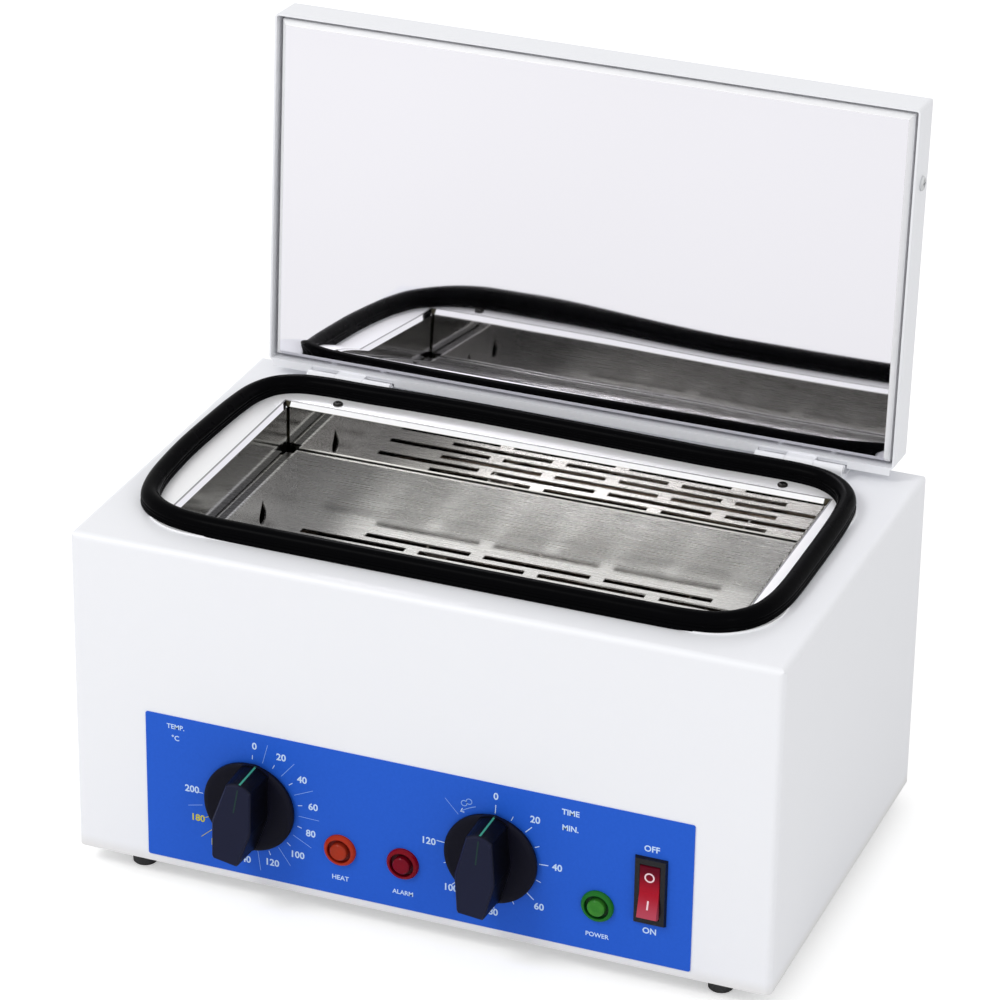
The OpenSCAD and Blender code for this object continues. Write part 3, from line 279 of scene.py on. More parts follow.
panel_low, panel_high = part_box("lid_panel")
mirror_sheet = Finish("mirror_sheet", POLISHED, 0.03, metallic=1.0)
up = mirror_sheet.axis("Z") - panel_low.z
along = mirror_sheet.axis("X")
lean = (along.rise(*LEFT_ENDS) * (LEAN_MIDDLE - LEAN_LEFT)
        + along.rise(*RIGHT_STARTS) * (LEAN_RIGHT - LEAN_MIDDLE) + LEAN_LEFT)
into_bend = (up - BEND_FROM).most(0.0)
past_it = (up - BEND_TO).most(0.0)
bent = (into_bend * into_bend - past_it * past_it) / (2 * (BEND_TO - BEND_FROM))
curl = up.rise(0.0, CURL_HEIGHT) * CURL_DEPTH
waves = mirror_sheet.noise(9, 0.5) * WAVE_DEPTH
mirror_sheet.bump(curl + waves - up * LEAN_LOW + bent * (lean * -1.0 + LEAN_LOW), 1.0)
past_edge = (abs(along) - panel_high.x).most(up - (panel_high.z - panel_low.z))
fold = past_edge.rise(*FOLD_STARTS)
mirror_sheet.set("Base Color", mirror_sheet.blend(fold, POLISHED, FOLDED))
mirror_sheet.set("Metallic", 1.0 - fold * 0.75)
mirror_sheet.set("Roughness", mirror_sheet.noise(25, 3) * 0.02 + 0.015 + fold * 0.4)
paint(mirror_sheet, "lid_panel")

# %% [markdown]
# ## The chamber
#
# One stainless tank with several looks. The flat flange round the mouth is satin and picks up the
# light of the room, and the bevel inside it is painted paler, as a painted highlight. The long
# walls are polished and mirror each other, and the end walls are painted darker, as painted shade.
# A thin dark line is painted where the sheet turns over the mouth's edge, as a painted reflection,
# and painted shade darkens the line where two walls meet. Below the tray the heater has tinted the
# steel. `outside` is how far a point lies beyond the mouth, and the pairs below say where each look
# starts, as the two ends of a soft step in it.

# %% Where the chamber's mouth is
def centre_of(node):
    """The middle of a CAD node's box."""
    low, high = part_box(node)
    return (low + high) / 2


SEAL_WIDTH = 9.0 * MM
FLANGE_ENDS = 8.5 * MM
FLANGE_SIDES = 10.0 * MM
seal_low, seal_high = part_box("seal")
middle = centre_of("seal")
mouth_x = (seal_high.x - seal_low.x) / 2 - SEAL_WIDTH - FLANGE_ENDS
mouth_y = (seal_high.y - seal_low.y) / 2 - SEAL_WIDTH - FLANGE_SIDES
print("mouth in mm:", round(2 * mouth_x / MM), "by", round(2 * mouth_y / MM))

# %% Chamber
FLANGE_STARTS = (-0.1 * MM, 0.1 * MM)
RIM_STARTS = (-1.95 * MM, -1.8 * MM)
END_WALL_STARTS = (-2.3 * MM, -2.1 * MM)
CORNER_STARTS = (-3.1 * MM, -2.6 * MM)
DARK_REFLECTION_AT = 0.35 * MM
DARK_REFLECTION_HALF = 0.6 * MM
TINT_FADES = 5 * MM

chamber_steel = Finish("chamber_steel", (0.80, 0.795, 0.78), 0.07, metallic=1.0)
past_end = abs(chamber_steel.axis("X") - middle.x) - mouth_x
past_side = abs(chamber_steel.axis("Y") - middle.y) - mouth_y
outside = past_end.most(past_side)
flange = outside.rise(*FLANGE_STARTS)
# The thin dark line just outside the mouth's edge is a painted reflection.
dark_edge_reflection = outside.near(DARK_REFLECTION_AT, DARK_REFLECTION_HALF)
# The bevel's paler colour is a painted highlight.
bevel_highlight = outside.rise(*RIM_STARTS)
# The end walls' darker colour is painted shade.
end_wall_shade = past_end.rise(*END_WALL_STARTS) * (1.0 - bevel_highlight)
# The near-black where two walls meet is painted shade.
corner_shade = past_end.rise(*CORNER_STARTS) * past_side.rise(*CORNER_STARTS) * (1.0 - flange)
rolling = chamber_steel.noise(300, 2, chamber_steel.stretched(1, 30, 30))
side_wall = chamber_steel.blend(rolling, (0.78, 0.77, 0.74), (0.84, 0.83, 0.80))
wall = chamber_steel.blend(end_wall_shade, side_wall, (0.34, 0.34, 0.33))
bare = chamber_steel.blend(bevel_highlight, wall, (0.95, 0.95, 0.96))
tray_low, tray_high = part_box("tray")
under_tray = 1.0 - chamber_steel.axis("Z").rise(tray_low.z - TINT_FADES, tray_low.z)
tinted = chamber_steel.blend(under_tray, bare, (0.26, 0.23, 0.20))
lined = chamber_steel.blend(dark_edge_reflection, tinted, (0.25, 0.25, 0.26))
chamber_steel.set("Base Color", chamber_steel.blend(corner_shade, lined, (0.05, 0.045, 0.03)))
chamber_steel.set("Roughness", rolling * 0.02 + 0.01 + flange * 0.35 + end_wall_shade * 0.1)
chamber_steel.set("Metallic", 1.0 - flange * 0.6)
chamber_steel.bump(chamber_steel.noise(12, 1), 0.0004, 0.4)
paint(chamber_steel, "chamber")

# %% [markdown]
# The tray is brushed instead. Brushing leaves fine scratches along one direction, which smear a
# reflection across them. Noise that is stretched along X, used as bump and roughness, gives both.
# The tray's end flanges lie in the shade of the chamber's ends, so they are painted dark as painted
# shade, the bend between flange and wall carries a painted highlight, and inside the bend painted
# shade dims the tray towards each end.

# %% Brushed sheet
def brushed(name, low, high):
    """A brushed metal between two colours, and the blend of them that its scratches make."""
    finish = Finish(name, low, 0.28, metallic=1.0)
    scratches = finish.noise(60, 4, finish.stretched(1, 40, 40))
    finish.set("Roughness", scratches * 0.14 + 0.2)
    finish.bump(scratches, 0.00004, 0.5)
    return finish, finish.blend(scratches, low, high)


TRAY_FLANGE = 4.0 * MM
SHADE_STARTS = (0.2 * MM, 0.6 * MM)
DIMMING_STARTS = (-50 * MM, -2 * MM)
DIMMING_ENDS = (-0.6 * MM, -0.3 * MM)
BRIGHT_LINE_AT = -0.1 * MM
BRIGHT_LINE_HALF = 0.8 * MM
tray_steel, plain = brushed("tray_steel", (0.68, 0.675, 0.665), (0.78, 0.775, 0.765))
past_bend = abs(tray_steel.axis("X")) - ((tray_high.x - tray_low.x) / 2 - TRAY_FLANGE)
shaded = tray_steel.blend(past_bend.rise(*SHADE_STARTS), plain, (0.16, 0.16, 0.165))
# The bright line along the bend is a painted highlight.
bend_highlight = past_bend.near(BRIGHT_LINE_AT, BRIGHT_LINE_HALF)
# The dimming towards each end is painted shade.
end_shade = past_bend.rise(*DIMMING_STARTS) * (1.0 - past_bend.rise(*DIMMING_ENDS))
dimmed = tray_steel.blend(end_shade * 0.35, shaded, (0.30, 0.30, 0.31))
tray_steel.set("Base Color", tray_steel.blend(bend_highlight, dimmed, (0.95, 0.95, 0.96)))
paint(tray_steel, "tray")

brushed_steel, plain = brushed("brushed_steel", (0.62, 0.615, 0.60), (0.76, 0.755, 0.74))
brushed_steel.set("Base Color", plain)
paint(brushed_steel, "tray_rails", "heater_brackets", "bulb_clips", "thermostat_bulb")

# %% [markdown]
# The base plate, the screws and nuts, the hinge pins and the shafts are zinc-plated: a pale grey
# metal that is duller in some spots than in others. The small screws on the chamber's flange look
# almost black against it, so they have a dark metal of their own.

# %% Zinc plate and dark screws
zinc = Finish("zinc", (0.66, 0.67, 0.68), 0.35, metallic=1.0)
zinc.set("Roughness", zinc.noise(180, 3) * 0.2 + 0.28)
paint(zinc, "base_plate", "base_screws", "foot_screws", "handle_screws", "lid_side_screws",
      "hinge_pins", "bush_nuts", "lamp_nuts", "thermostat_shaft", "timer_shaft")

dark_steel = Finish("dark_steel", (0.02, 0.019, 0.018), 0.4, metallic=1.0)
dark_steel.set("Roughness", dark_steel.noise(300, 2) * 0.2 + 0.3)
paint(dark_steel, "flange_screws")

# %% [markdown]
# A tubular heater's sheath is tinted by its own heat, in some stretches more than in others. One
# noise with large lumps gives both the tint and the change in gloss.

# %% Heater
heater_sheath = Finish("heater_sheath", (0.16, 0.13, 0.10), 0.4, metallic=1.0)
tint = heater_sheath.noise(30, 3)
heater_sheath.set("Base Color", heater_sheath.blend(tint, (0.06, 0.05, 0.048), (0.16, 0.12, 0.085)))
heater_sheath.set("Roughness", tint * 0.2 + 0.3)
paint(heater_sheath, "heater")

# %% [markdown]
# Rubber and moulded plastic need no more than a dark colour with some roughness. Each still gets
# a little noise, because an even black looks like a hole. A black as deep as these also needs its
# gloss turned down: the specular level is the same all over, so it is set on the shader's own
# socket.

# %% Rubber and plastics
seal_rubber = Finish("seal_rubber", (0.0016, 0.0016, 0.0020), 0.24, specular=0.012)
seal_rubber.set("Roughness", seal_rubber.noise(60, 3) * 0.16 + 0.2)
seal_rubber.bump(seal_rubber.noise(120, 2), 0.0004, 0.3)

foot_rubber = Finish("foot_rubber", (0.03, 0.03, 0.032), 0.7)
foot_rubber.bump(foot_rubber.noise(900, 2), 0.0001, 0.5)
paint(foot_rubber, "feet")

moulded_black = Finish("moulded_black", (0.010, 0.011, 0.016), 0.42, specular=0.25)
moulded_black.set("Roughness", moulded_black.noise(350, 3) * 0.14 + 0.36)
moulded_black.bump(moulded_black.noise(1800, 2), 0.00004, 0.6)
paint(moulded_black, "lid_handle", "cord_gland", "thermostat_body", "timer_body", "lamp_barrels",
      "safety_cutout")

# %% [markdown]
# A knob is of the same black with a cast of blue. The wing's sides are painted a far deeper black
# than its crown, as painted shade, and the skirt is in between, so the colour follows the depth
# behind the crown.

# %% Knobs
CROWN_BLACK = (0.0115, 0.0135, 0.034)
SIDE_SHADE_BLACK = (0.002, 0.002, 0.004)
SKIRT_BLACK = (0.005, 0.005, 0.012)
CROWN_ENDS = (0.3 * MM, 1.6 * MM)
SKIRT_STARTS = (17.6 * MM, 18.3 * MM)
knob_black = Finish("knob_black", (0.012, 0.014, 0.034), 0.42, specular=0.08)
depth = knob_black.axis("Y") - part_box("timer_knob")[0].y
# The wing's near-black sides behind the crown are painted shade.
wing = knob_black.blend(depth.rise(*CROWN_ENDS), CROWN_BLACK, SIDE_SHADE_BLACK)
knob_black.set("Base Color", knob_black.blend(depth.rise(*SKIRT_STARTS), wing, SKIRT_BLACK))
knob_black.set("Roughness", knob_black.noise(350, 3) * 0.14 + 0.34)
knob_black.bump(knob_black.noise(1800, 2), 0.00004, 0.6)
paint(knob_black, "temperature_knob", "timer_knob")

# %% [markdown]
# The switch's bezel is a glossy black. The terminal block and the mineral wool are hidden inside
# the cabinet and the lid, so a plain finish is enough for them, but the wool keeps its fibres: one
# noise gives both their colour and their relief.

# %% Bezel, terminal block and mineral wool
gloss_black = Finish("gloss_black", (0.006, 0.006, 0.008), 0.22, specular=0.3)
gloss_black.set("Roughness", gloss_black.noise(200, 2) * 0.08 + 0.18)
paint(gloss_black, "switch_body")

pale_plastic = Finish("pale_plastic", (0.75, 0.73, 0.64), 0.5)
pale_plastic.set("Roughness", pale_plastic.noise(300, 2) * 0.1 + 0.45)
paint(pale_plastic, "terminal_block")

mineral_wool = Finish("mineral_wool", (0.5, 0.44, 0.28), 0.95)
fibres = mineral_wool.noise(500, 6)
mineral_wool.set("Base Color", mineral_wool.blend(fibres, (0.36, 0.31, 0.18), (0.62, 0.56, 0.38)))
mineral_wool.bump(fibres, 0.001, 0.8)
paint(mineral_wool, "chamber_insulation", "lid_insulation")

# %% [markdown]
# The control label is a printed plastic film, with a fine grain in its surface.

# %% Label film
label_film = Finish("label_film", srgb(32, 91, 204), 0.5, specular=0.15)
grain = label_film.noise(700, 4)
label_film.set("Base Color", label_film.blend(grain, srgb(29, 86, 198), srgb(35, 95, 209)))
label_film.bump(grain, 0.00003, 0.4)
paint(label_film, "control_label")

# %% [markdown]
# The lamp lenses are clear coloured plastic with a raised middle, a groove round it and a rim.
# Little light comes back out of the groove, so its colour is painted deepest there, as painted
# shade. The mask for it is the distance from the lens's axis. All three lenses are the same but for
# their colours, so a function makes them.

# %% Lamp lenses
MIDDLE_ENDS = (3.9 * MM, 4.6 * MM)
RIM_RING_STARTS = (5.4 * MM, 6.2 * MM)


def lens_finish(name, node, groove_shade, full, bright):
    """Clear coloured plastic for a round stepped lens: painted shade in the groove, bright in the middle.
    """
    lens = Finish(name, full, 0.14, coat=0.05, specular=0.08)
    across = lens.axis("X") - centre_of(node).x
    upward = lens.axis("Z") - centre_of(node).z
    radius = (across * across + upward * upward).root()
    lumps = lens.noise(260, 2)
    raised = lens.blend(lumps, full, bright)
    # The groove's deep colour is painted shade.
    ringed = lens.blend(radius.rise(*RIM_RING_STARTS), groove_shade, full)
    shades = lens.blend(1.0 - radius.rise(*MIDDLE_ENDS), ringed, raised)
    lens.set("Base Color", shades)
    lens.set("Roughness", lumps * 0.1 + 0.1)
    lens.set("Emission Color", shades)
    lens.set("Emission Strength", 0.06)
    paint(lens, node)


lens_finish("amber_lens", "lamp_lens_amber", srgb(100, 12, 8), srgb(166, 46, 24), srgb(146, 50, 30))
lens_finish("red_lens", "lamp_lens_red", srgb(58, 2, 10), srgb(120, 4, 24), srgb(104, 6, 30))
lens_finish("green_lens", "lamp_lens_green", srgb(6, 52, 16), srgb(30, 105, 36), srgb(72, 142, 50))

# %% [markdown]
# The rocker is translucent red. Its colour is painted darkest at its upper end, which is pressed
# in, as painted shade, and paler towards the lower end, which stands out into the light, as a
# painted highlight.

# %% Rocker
rocker_low, rocker_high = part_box("switch_rocker")
rocker_red = Finish("rocker_red", srgb(150, 30, 45), 0.16, specular=0.06)
rocker_up = (rocker_red.axis("Z") - rocker_low.z) / (rocker_high.z - rocker_low.z)
# Painted shade darkens the upper end and a painted highlight pales the lower end.
lower = rocker_red.blend(rocker_up.rise(0.05, 0.5), srgb(178, 72, 90), srgb(165, 24, 42))
rocker_red.set("Base Color", rocker_red.blend(rocker_up.rise(0.5, 0.95), lower, srgb(92, 10, 30)))
rocker_red.set("Roughness", rocker_red.noise(400, 2) * 0.08 + 0.12)
paint(rocker_red, "switch_rocker")

# %% [markdown]
# ## Geometry Nodes from a script
#
# The seal follows a path, and the dials are rings of short bars. Both are rules, so Geometry Nodes
# make them. The first helpers below build a tree with named inputs, and `grow` runs a tree once
# and keeps its result as a plain mesh.

# %% Helpers for Geometry Nodes
def geometry_tree(name, sockets):
    """An empty Geometry Nodes tree with those named inputs and one geometry output."""
    tree = bpy.data.node_groups.new(name, "GeometryNodeTree")
    tree.is_modifier = True
    for label, kind in sockets.items():
        tree.interface.new_socket(label, in_out="INPUT", socket_type="NodeSocket" + kind)
    tree.interface.new_socket("Geometry", in_out="OUTPUT", socket_type="NodeSocketGeometry")
    return tree


def join_nodes(tree, kind, settings=None, inputs=None):
    """Adds one node; its inputs are plain values or outputs of earlier nodes."""
    node = tree.nodes.new(kind)
    for setting, value in (settings or {}).items():
        setattr(node, setting, value)
    for key, value in (inputs or {}).items():
        if isinstance(value, bpy.types.NodeSocket):
            tree.links.new(value, node.inputs[key])
        else:
            node.inputs[key].default_value = value
    return node


def coated_output(tree, geometry, material):
    """Gives that geometry its material and hands it to the tree's output."""
    coated = join_nodes(tree, "GeometryNodeSetMaterial", None,
                        {"Geometry": geometry, "Material": material})
    tree.links.new(coated.outputs[0], tree.nodes.new("NodeGroupOutput").inputs[0])
    return tree


def placed(name, data):
    """An object at the origin for a mesh, a curve, a lamp or a camera."""
    piece = bpy.data.objects.new(name, data)
    bpy.context.scene.collection.objects.link(piece)
    return piece


def grow(name, tree, **values):
    """Runs a tree once with those inputs and returns its result as a plain mesh object."""
    holder = placed(name + "_holder", bpy.data.meshes.new(name + "_holder"))
    modifier = holder.modifiers.new("grow", "NODES")
    modifier.node_group = tree
    for item in tree.interface.items_tree:
        if item.item_type == "SOCKET" and item.in_out == "INPUT" and item.name in values:
            modifier[item.identifier] = values[item.name]
    bpy.context.view_layer.update()
    evaluated = holder.evaluated_get(bpy.context.evaluated_depsgraph_get())
    mesh = bpy.data.meshes.new_from_object(evaluated)
    bpy.data.objects.remove(holder)
    return placed(name, mesh)


def merged(name, pieces):
    """Several plain mesh objects as one, keeping each one's material."""
    with bpy.context.temp_override(active_object=pieces[0], selected_editable_objects=pieces):
        bpy.ops.object.join()
    pieces[0].name = name
    return pieces[0]


def outward(piece):
    """Turns all faces of a closed mesh outwards."""
    shape = bmesh.new()
    shape.from_mesh(piece.data)
    bmesh.ops.recalc_face_normals(shape, faces=shape.faces)
    shape.to_mesh(piece.data)
    shape.free()
    return piece

# %% [markdown]
# ## The seal
#
# The CAD seal is a perfect rounded frame. The real one is a length of rubber profile that is
# pressed onto the flange's edge by hand and butted at the rear: it takes the corners wider than
# the flange does, bellies out a little along the left end and pinches at the joint. So this piece
# stands for the CAD node. A path says where the profile's middle lies, and its section, with the
# ridges along both faces and the round bulb on top, is swept along it. Where the rubber bellies
# out it comes under the closed lid's wall, so it is a little lower than the CAD's ring.

# %% The seal's section and path
BULB_RADIUS = 4.3
LID_CLEARANCE = 0.3
SEAL_HEIGHT = (seal_high.z - seal_low.z) / MM - LID_CLEARANCE


def seal_section():
    """Points of the section, outward and up from the middle of its foot, in millimetres."""
    half = SEAL_WIDTH / MM / 2
    side = [(half - 0.7, 0.0), (half - 0.1, 0.5), (half, 1.3), (half - 0.15, 1.9), (half - 0.75, 2.35),
            (half - 0.75, 2.65), (half - 0.15, 3.1), (half - 0.1, 3.6), (half - 0.6, 4.0),
            (half - 0.6, 4.25), (half - 0.2, 4.65)]
    crown = SEAL_HEIGHT - BULB_RADIUS
    bulb = [(BULB_RADIUS * math.cos(math.radians(a)), crown + BULB_RADIUS * math.sin(math.radians(a)))
            for a in range(10, 171, 16)]
    return side + bulb + [(-x, z) for x, z in reversed(side)]


# How the rubber lies: points along the outer edge, in millimetres from the middle of the cabinet.
LAID = [(153.7, 20), (153.9, -10), (153.7, -38), (152.2, -55), (148.3, -68.4), (141.3, -78.3),
        (131, -84.8), (117, -87.4), (100, -87.9), (50, -87.7), (0, -87.6), (-50, -87.5),
        (-100, -87.3), (-118, -86.3), (-132, -83.3), (-143.7, -77), (-152.4, -67.4), (-156.9, -54),
        (-159.2, -38), (-160.5, -12), (-160.1, 14), (-158.9, 40), (-156.3, 57.2), (-149.4, 70.6),
        (-137, 78.4), (-121, 80.7), (-100, 80.9), (-75, 81.8), (-40, 82.2), (0, 81.5), (50, 80.3),
        (75, 79.8), (100, 80.2), (118, 79.8), (131.8, 76.9), (143, 69.2), (150.2, 57.6), (152.8, 42)]
SEAL_STEPS = 8
PINCHES = ((112.0, 76.0), (-131.0, 75.0), (-153.0, -50.0))
PINCH_REACH = 3.0
PINCH_DEPTH = 0.07


def smooth_loop(corners, steps):
    """A closed Catmull-Rom curve through the corners."""
    loop = []
    for index in range(len(corners)):
        a, b, c, d = (Vector(corners[(index + k) % len(corners)]) for k in (-1, 0, 1, 2))
        for step in range(steps):
            t = step / steps
            loop.append(0.5 * (2 * b + (c - a) * t + (2 * a - 5 * b + 4 * c - d) * t ** 2
                               + (3 * b - a - 3 * c + d) * t ** 3))
    return loop


def closed_curve(name, points, radii=None):
    """A closed curve object of straight pieces through those points, in metres."""
    curve = bpy.data.curves.new(name, "CURVE")
    curve.dimensions = "3D"
    spline = curve.splines.new("POLY")
    spline.points.add(len(points) - 1)
    for index, point in enumerate(points):
        spline.points[index].co = (*point, 1.0)
        spline.points[index].radius = radii[index] if radii else 1.0
    spline.use_cyclic_u = True
    return placed(name, curve)


edge = smooth_loop(LAID, SEAL_STEPS)
path, pinched = [], []
for index, spot in enumerate(edge):
    run = (edge[(index + 1) % len(edge)] - edge[index - 1]).normalized()
    across = Vector((-run.y, run.x))
    inward = across if across @ spot < 0 else -across
    centre = spot + inward * (SEAL_WIDTH / MM / 2)
    path.append((centre.x * MM, centre.y * MM, seal_low.z))
    away = min((centre - Vector(p)).length for p in PINCHES)
    pinched.append(1.0 - PINCH_DEPTH * max(0.0, 1.0 - away / PINCH_REACH))
around = sum((Vector(b) - Vector(a)).length for a, b in zip(path, path[1:] + path[:1]))
print("seal path:", len(path), "points,", round(around / MM), "mm round")

# %% Sweep the section along the path
def sweep_tree():
    """A profile swept along a level path."""
    tree = geometry_tree("sweep", {"Path": "Object", "Profile": "Object", "Material": "Material"})
    given = tree.nodes.new("NodeGroupInput").outputs
    path_in = join_nodes(tree, "GeometryNodeObjectInfo", None, {"Object": given["Path"]})
    profile_in = join_nodes(tree, "GeometryNodeObjectInfo", None, {"Object": given["Profile"]})
    level = join_nodes(tree, "GeometryNodeSetCurveNormal", None, {"Curve": path_in.outputs["Geometry"]})
    set_upright(level)
    swept = join_nodes(tree, "GeometryNodeCurveToMesh", None,
                       {"Curve": level.outputs[0], "Profile Curve": profile_in.outputs["Geometry"]})
    real = join_nodes(tree, "GeometryNodeRealizeInstances", None, {"Geometry": swept.outputs[0]})
    smooth = join_nodes(tree, "GeometryNodeSetShadeSmooth", None, {"Geometry": real.outputs[0]})
    return coated_output(tree, smooth.outputs[0], given["Material"])


def set_upright(node):
    """Keeps a level curve's normals level, whichever way this Blender version stores that choice."""
    if "Mode" in node.inputs:
        node.inputs["Mode"].default_value = "Z Up"
    else:
        node.mode = "Z_UP"


path_curve = closed_curve("seal_path", path, pinched)
section_curve = closed_curve("seal_section", [(x * MM, -z * MM, 0.0) for x, z in seal_section()])
rubber_seal = outward(grow("rubber_seal", sweep_tree(), Path=path_curve, Profile=section_curve,
                           Material=seal_rubber.material))
for drawn in (path_curve, section_curve):
    bpy.data.objects.remove(drawn)
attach(rubber_seal, "cabinet")
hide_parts("seal")
corners = [v.co for v in rubber_seal.data.vertices]
print("seal:", len(corners), "points, height from", round(min(c.z for c in corners) / MM, 2), "to",
      round(max(c.z for c in corners) / MM, 2))

# %% [markdown]
# ## Print on the control label
#
# Points on a circle, a bar on each, turned to point at the middle: one tree with named inputs
# serves every ring, and only its numbers change. Neither scale is quite even, because a bulb
# thermostat and a spring timer don't turn evenly, so `Drift` opens the steps out.

# %% A tree for a ring of bars
def bar_ring_tree():
    """Bars on a circle in the XZ plane, the first at Start, each further clockwise."""
    tree = geometry_tree("bar_ring", {"Count": "Int", "Start": "Float", "Step": "Float", "Drift": "Float",
                                      "Radius": "Float", "Length": "Float", "Width": "Float",
                                      "Depth": "Float", "Centre": "Vector", "Material": "Material"})
    given = tree.nodes.new("NodeGroupInput").outputs

    def maths(operation, a, b):
        return join_nodes(tree, "ShaderNodeMath", {"operation": operation}, {0: a, 1: b}).outputs[0]

    index = tree.nodes.new("GeometryNodeInputIndex").outputs[0]
    stretch = maths("ADD", given["Step"], maths("MULTIPLY", index, given["Drift"]))
    angle = maths("ADD", maths("MULTIPLY", index, stretch), given["Start"])
    reach = maths("ADD", given["Radius"], maths("MULTIPLY", given["Length"], 0.5))
    across = maths("MULTIPLY", maths("SINE", angle, 0.0), reach)
    upward = maths("MULTIPLY", maths("COSINE", angle, 0.0), reach)
    spot = join_nodes(tree, "ShaderNodeCombineXYZ", None, {"X": across, "Z": upward}).outputs[0]
    spot = join_nodes(tree, "ShaderNodeVectorMath", {"operation": "ADD"},
                      {0: spot, 1: given["Centre"]}).outputs[0]
    points = join_nodes(tree, "GeometryNodePoints", None, {"Count": given["Count"], "Position": spot})
    size = join_nodes(tree, "ShaderNodeCombineXYZ", None,
                      {"X": given["Width"], "Y": given["Depth"], "Z": given["Length"]}).outputs[0]
    bar = join_nodes(tree, "GeometryNodeMeshCube", None, {"Size": size})
    turn = join_nodes(tree, "ShaderNodeCombineXYZ", None, {"Y": angle}).outputs[0]
    placed = join_nodes(tree, "GeometryNodeInstanceOnPoints", None,
                        {"Points": points.outputs[0], "Instance": bar.outputs["Mesh"], "Rotation": turn})
    solid = join_nodes(tree, "GeometryNodeRealizeInstances", None, {"Geometry": placed.outputs[0]})
    return coated_output(tree, solid.outputs[0], given["Material"])

# %% [markdown]
# The bars stand on the label as printed ink does: a few hundredths of a millimetre proud. Ink
# colours are a bluish white, a thinner pale blue for the long lines, and a yellow that warns of
# the hottest part of the temperature scale.

# %% Ink colours and where the dials are
def ink(name, colour):
    """A matt ink of that colour."""
    finish = Finish(name, colour, 0.5, specular=0.2)
    finish.set("Roughness", finish.noise(900, 2) * 0.1 + 0.45)
    return finish


white_ink = ink("white_ink", srgb(196, 219, 250))
pale_ink = ink("pale_ink", srgb(140, 178, 240))
yellow_ink = ink("yellow_ink", srgb(205, 196, 50))

INK = 0.05 * MM
label_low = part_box("control_label")[0]
ink_y = label_low.y - INK / 2


def shaft_centre(node):
    """Where a shaft's axis meets the ink plane."""
    return Vector((centre_of(node).x, ink_y, centre_of(node).z))


temperature_dial = shaft_centre("thermostat_shaft")
timer_dial = shaft_centre("timer_shaft")
print("dials at x", round(temperature_dial.x / MM, 1), "and", round(timer_dial.x / MM, 1))

# %% Scales
class Scale:
    """A dial's marks. Number n stands at start + step n + drift n squared, in degrees clockwise."""

    def __init__(self, centre, start, step, drift):
        self.centre, self.start, self.step, self.drift = centre, start, step, drift

    def angle(self, n):
        return self.start + self.step * n + self.drift * n * n

    def ring(self, name, first, count, radius, length, width, finish=None):
        """That many bars from mark number first on, which may be a half; the sizes are in mm."""
        return grow(name, bars, Count=count, Start=math.radians(self.angle(first)),
                    Step=math.radians(self.step + 2 * self.drift * first),
                    Drift=math.radians(self.drift), Radius=radius * MM, Length=length * MM,
                    Width=width * MM, Depth=INK, Centre=self.centre,
                    Material=(finish or white_ink).material)


bars = bar_ring_tree()
temperature_scale = Scale(temperature_dial, start=2.4, step=24.7, drift=0.22)
timer_scale = Scale(timer_dial, start=3.0, step=40.2, drift=0.85)
endless_mark = Scale(timer_dial, start=-42.4, step=0.0, drift=0.0)
dial_marks = merged("dial_marks", [
    temperature_scale.ring("t_numbers", 0, 8, 24.0, 2.2, 0.32),
    temperature_scale.ring("t_hot", 8, 2, 23.6, 2.4, 0.32, yellow_ink),
    temperature_scale.ring("t_last", 10, 1, 24.0, 2.2, 0.32),
    temperature_scale.ring("t_between", 0.5, 8, 23.8, 10.2, 0.22, pale_ink),
    temperature_scale.ring("t_hot_between", 8.5, 1, 26.5, 7.3, 0.22, yellow_ink),
    temperature_scale.ring("t_last_between", 9.5, 1, 25.1, 7.4, 0.22, pale_ink),
    timer_scale.ring("m_numbers", 0, 7, 22.6, 4.4, 0.42),
    timer_scale.ring("m_between", 0.5, 6, 22.4, 2.4, 0.36),
    endless_mark.ring("m_endless", 0, 1, 24.5, 9.6, 0.2, pale_ink),
])
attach(dial_marks, "cabinet")
print("dial marks:", len(dial_marks.data.polygons), "faces")

# %% [markdown]
# Numbers and words come from Blender's own font. A text object is first turned into a mesh, and
# only then is its place worked into the vertices, so that the object itself stays at the origin
# like every other piece. The numbers on the real dials don't stand at quite even distances, so
# each has its own reach from the axis, and on the timer its own small lead past its mark.

# %% Lettering
def lettering(text, size, x, z, finish, bold=0.0):
    """Text that lies on the label with its middle at x, z, in metres."""
    curve = bpy.data.curves.new("letters", "FONT")
    curve.body = text
    curve.size = size * MM
    curve.align_x = "CENTER"
    curve.align_y = "CENTER"
    curve.offset = bold * MM
    curve.extrude = INK / 2
    curve.resolution_u = 3
    holder = placed("letters", curve)
    bpy.context.view_layer.update()
    mesh = bpy.data.meshes.new_from_object(holder.evaluated_get(bpy.context.evaluated_depsgraph_get()))
    bpy.data.objects.remove(holder)
    mesh.transform(Matrix.Translation((x, ink_y, z)) @ Matrix.Rotation(math.radians(90), 4, "X"))
    mesh.materials.clear()
    mesh.materials.append(finish.material)
    return placed("letters", mesh)


def dial_numbers(scale, leads, reaches, hot=()):
    """0, 20, 40 and on round a dial, each number upright, some degrees past its mark, in mm out."""
    made = []
    for n, (lead, reach) in enumerate(zip(leads, reaches)):
        angle = math.radians(scale.angle(n) + lead)
        value = n * NUMBER_STEP
        made.append(lettering(str(value), NUMBER_SIZE, scale.centre.x + reach * MM * math.sin(angle),
                              scale.centre.z + reach * MM * math.cos(angle),
                              yellow_ink if value in hot else white_ink, bold=0.11))
    return made


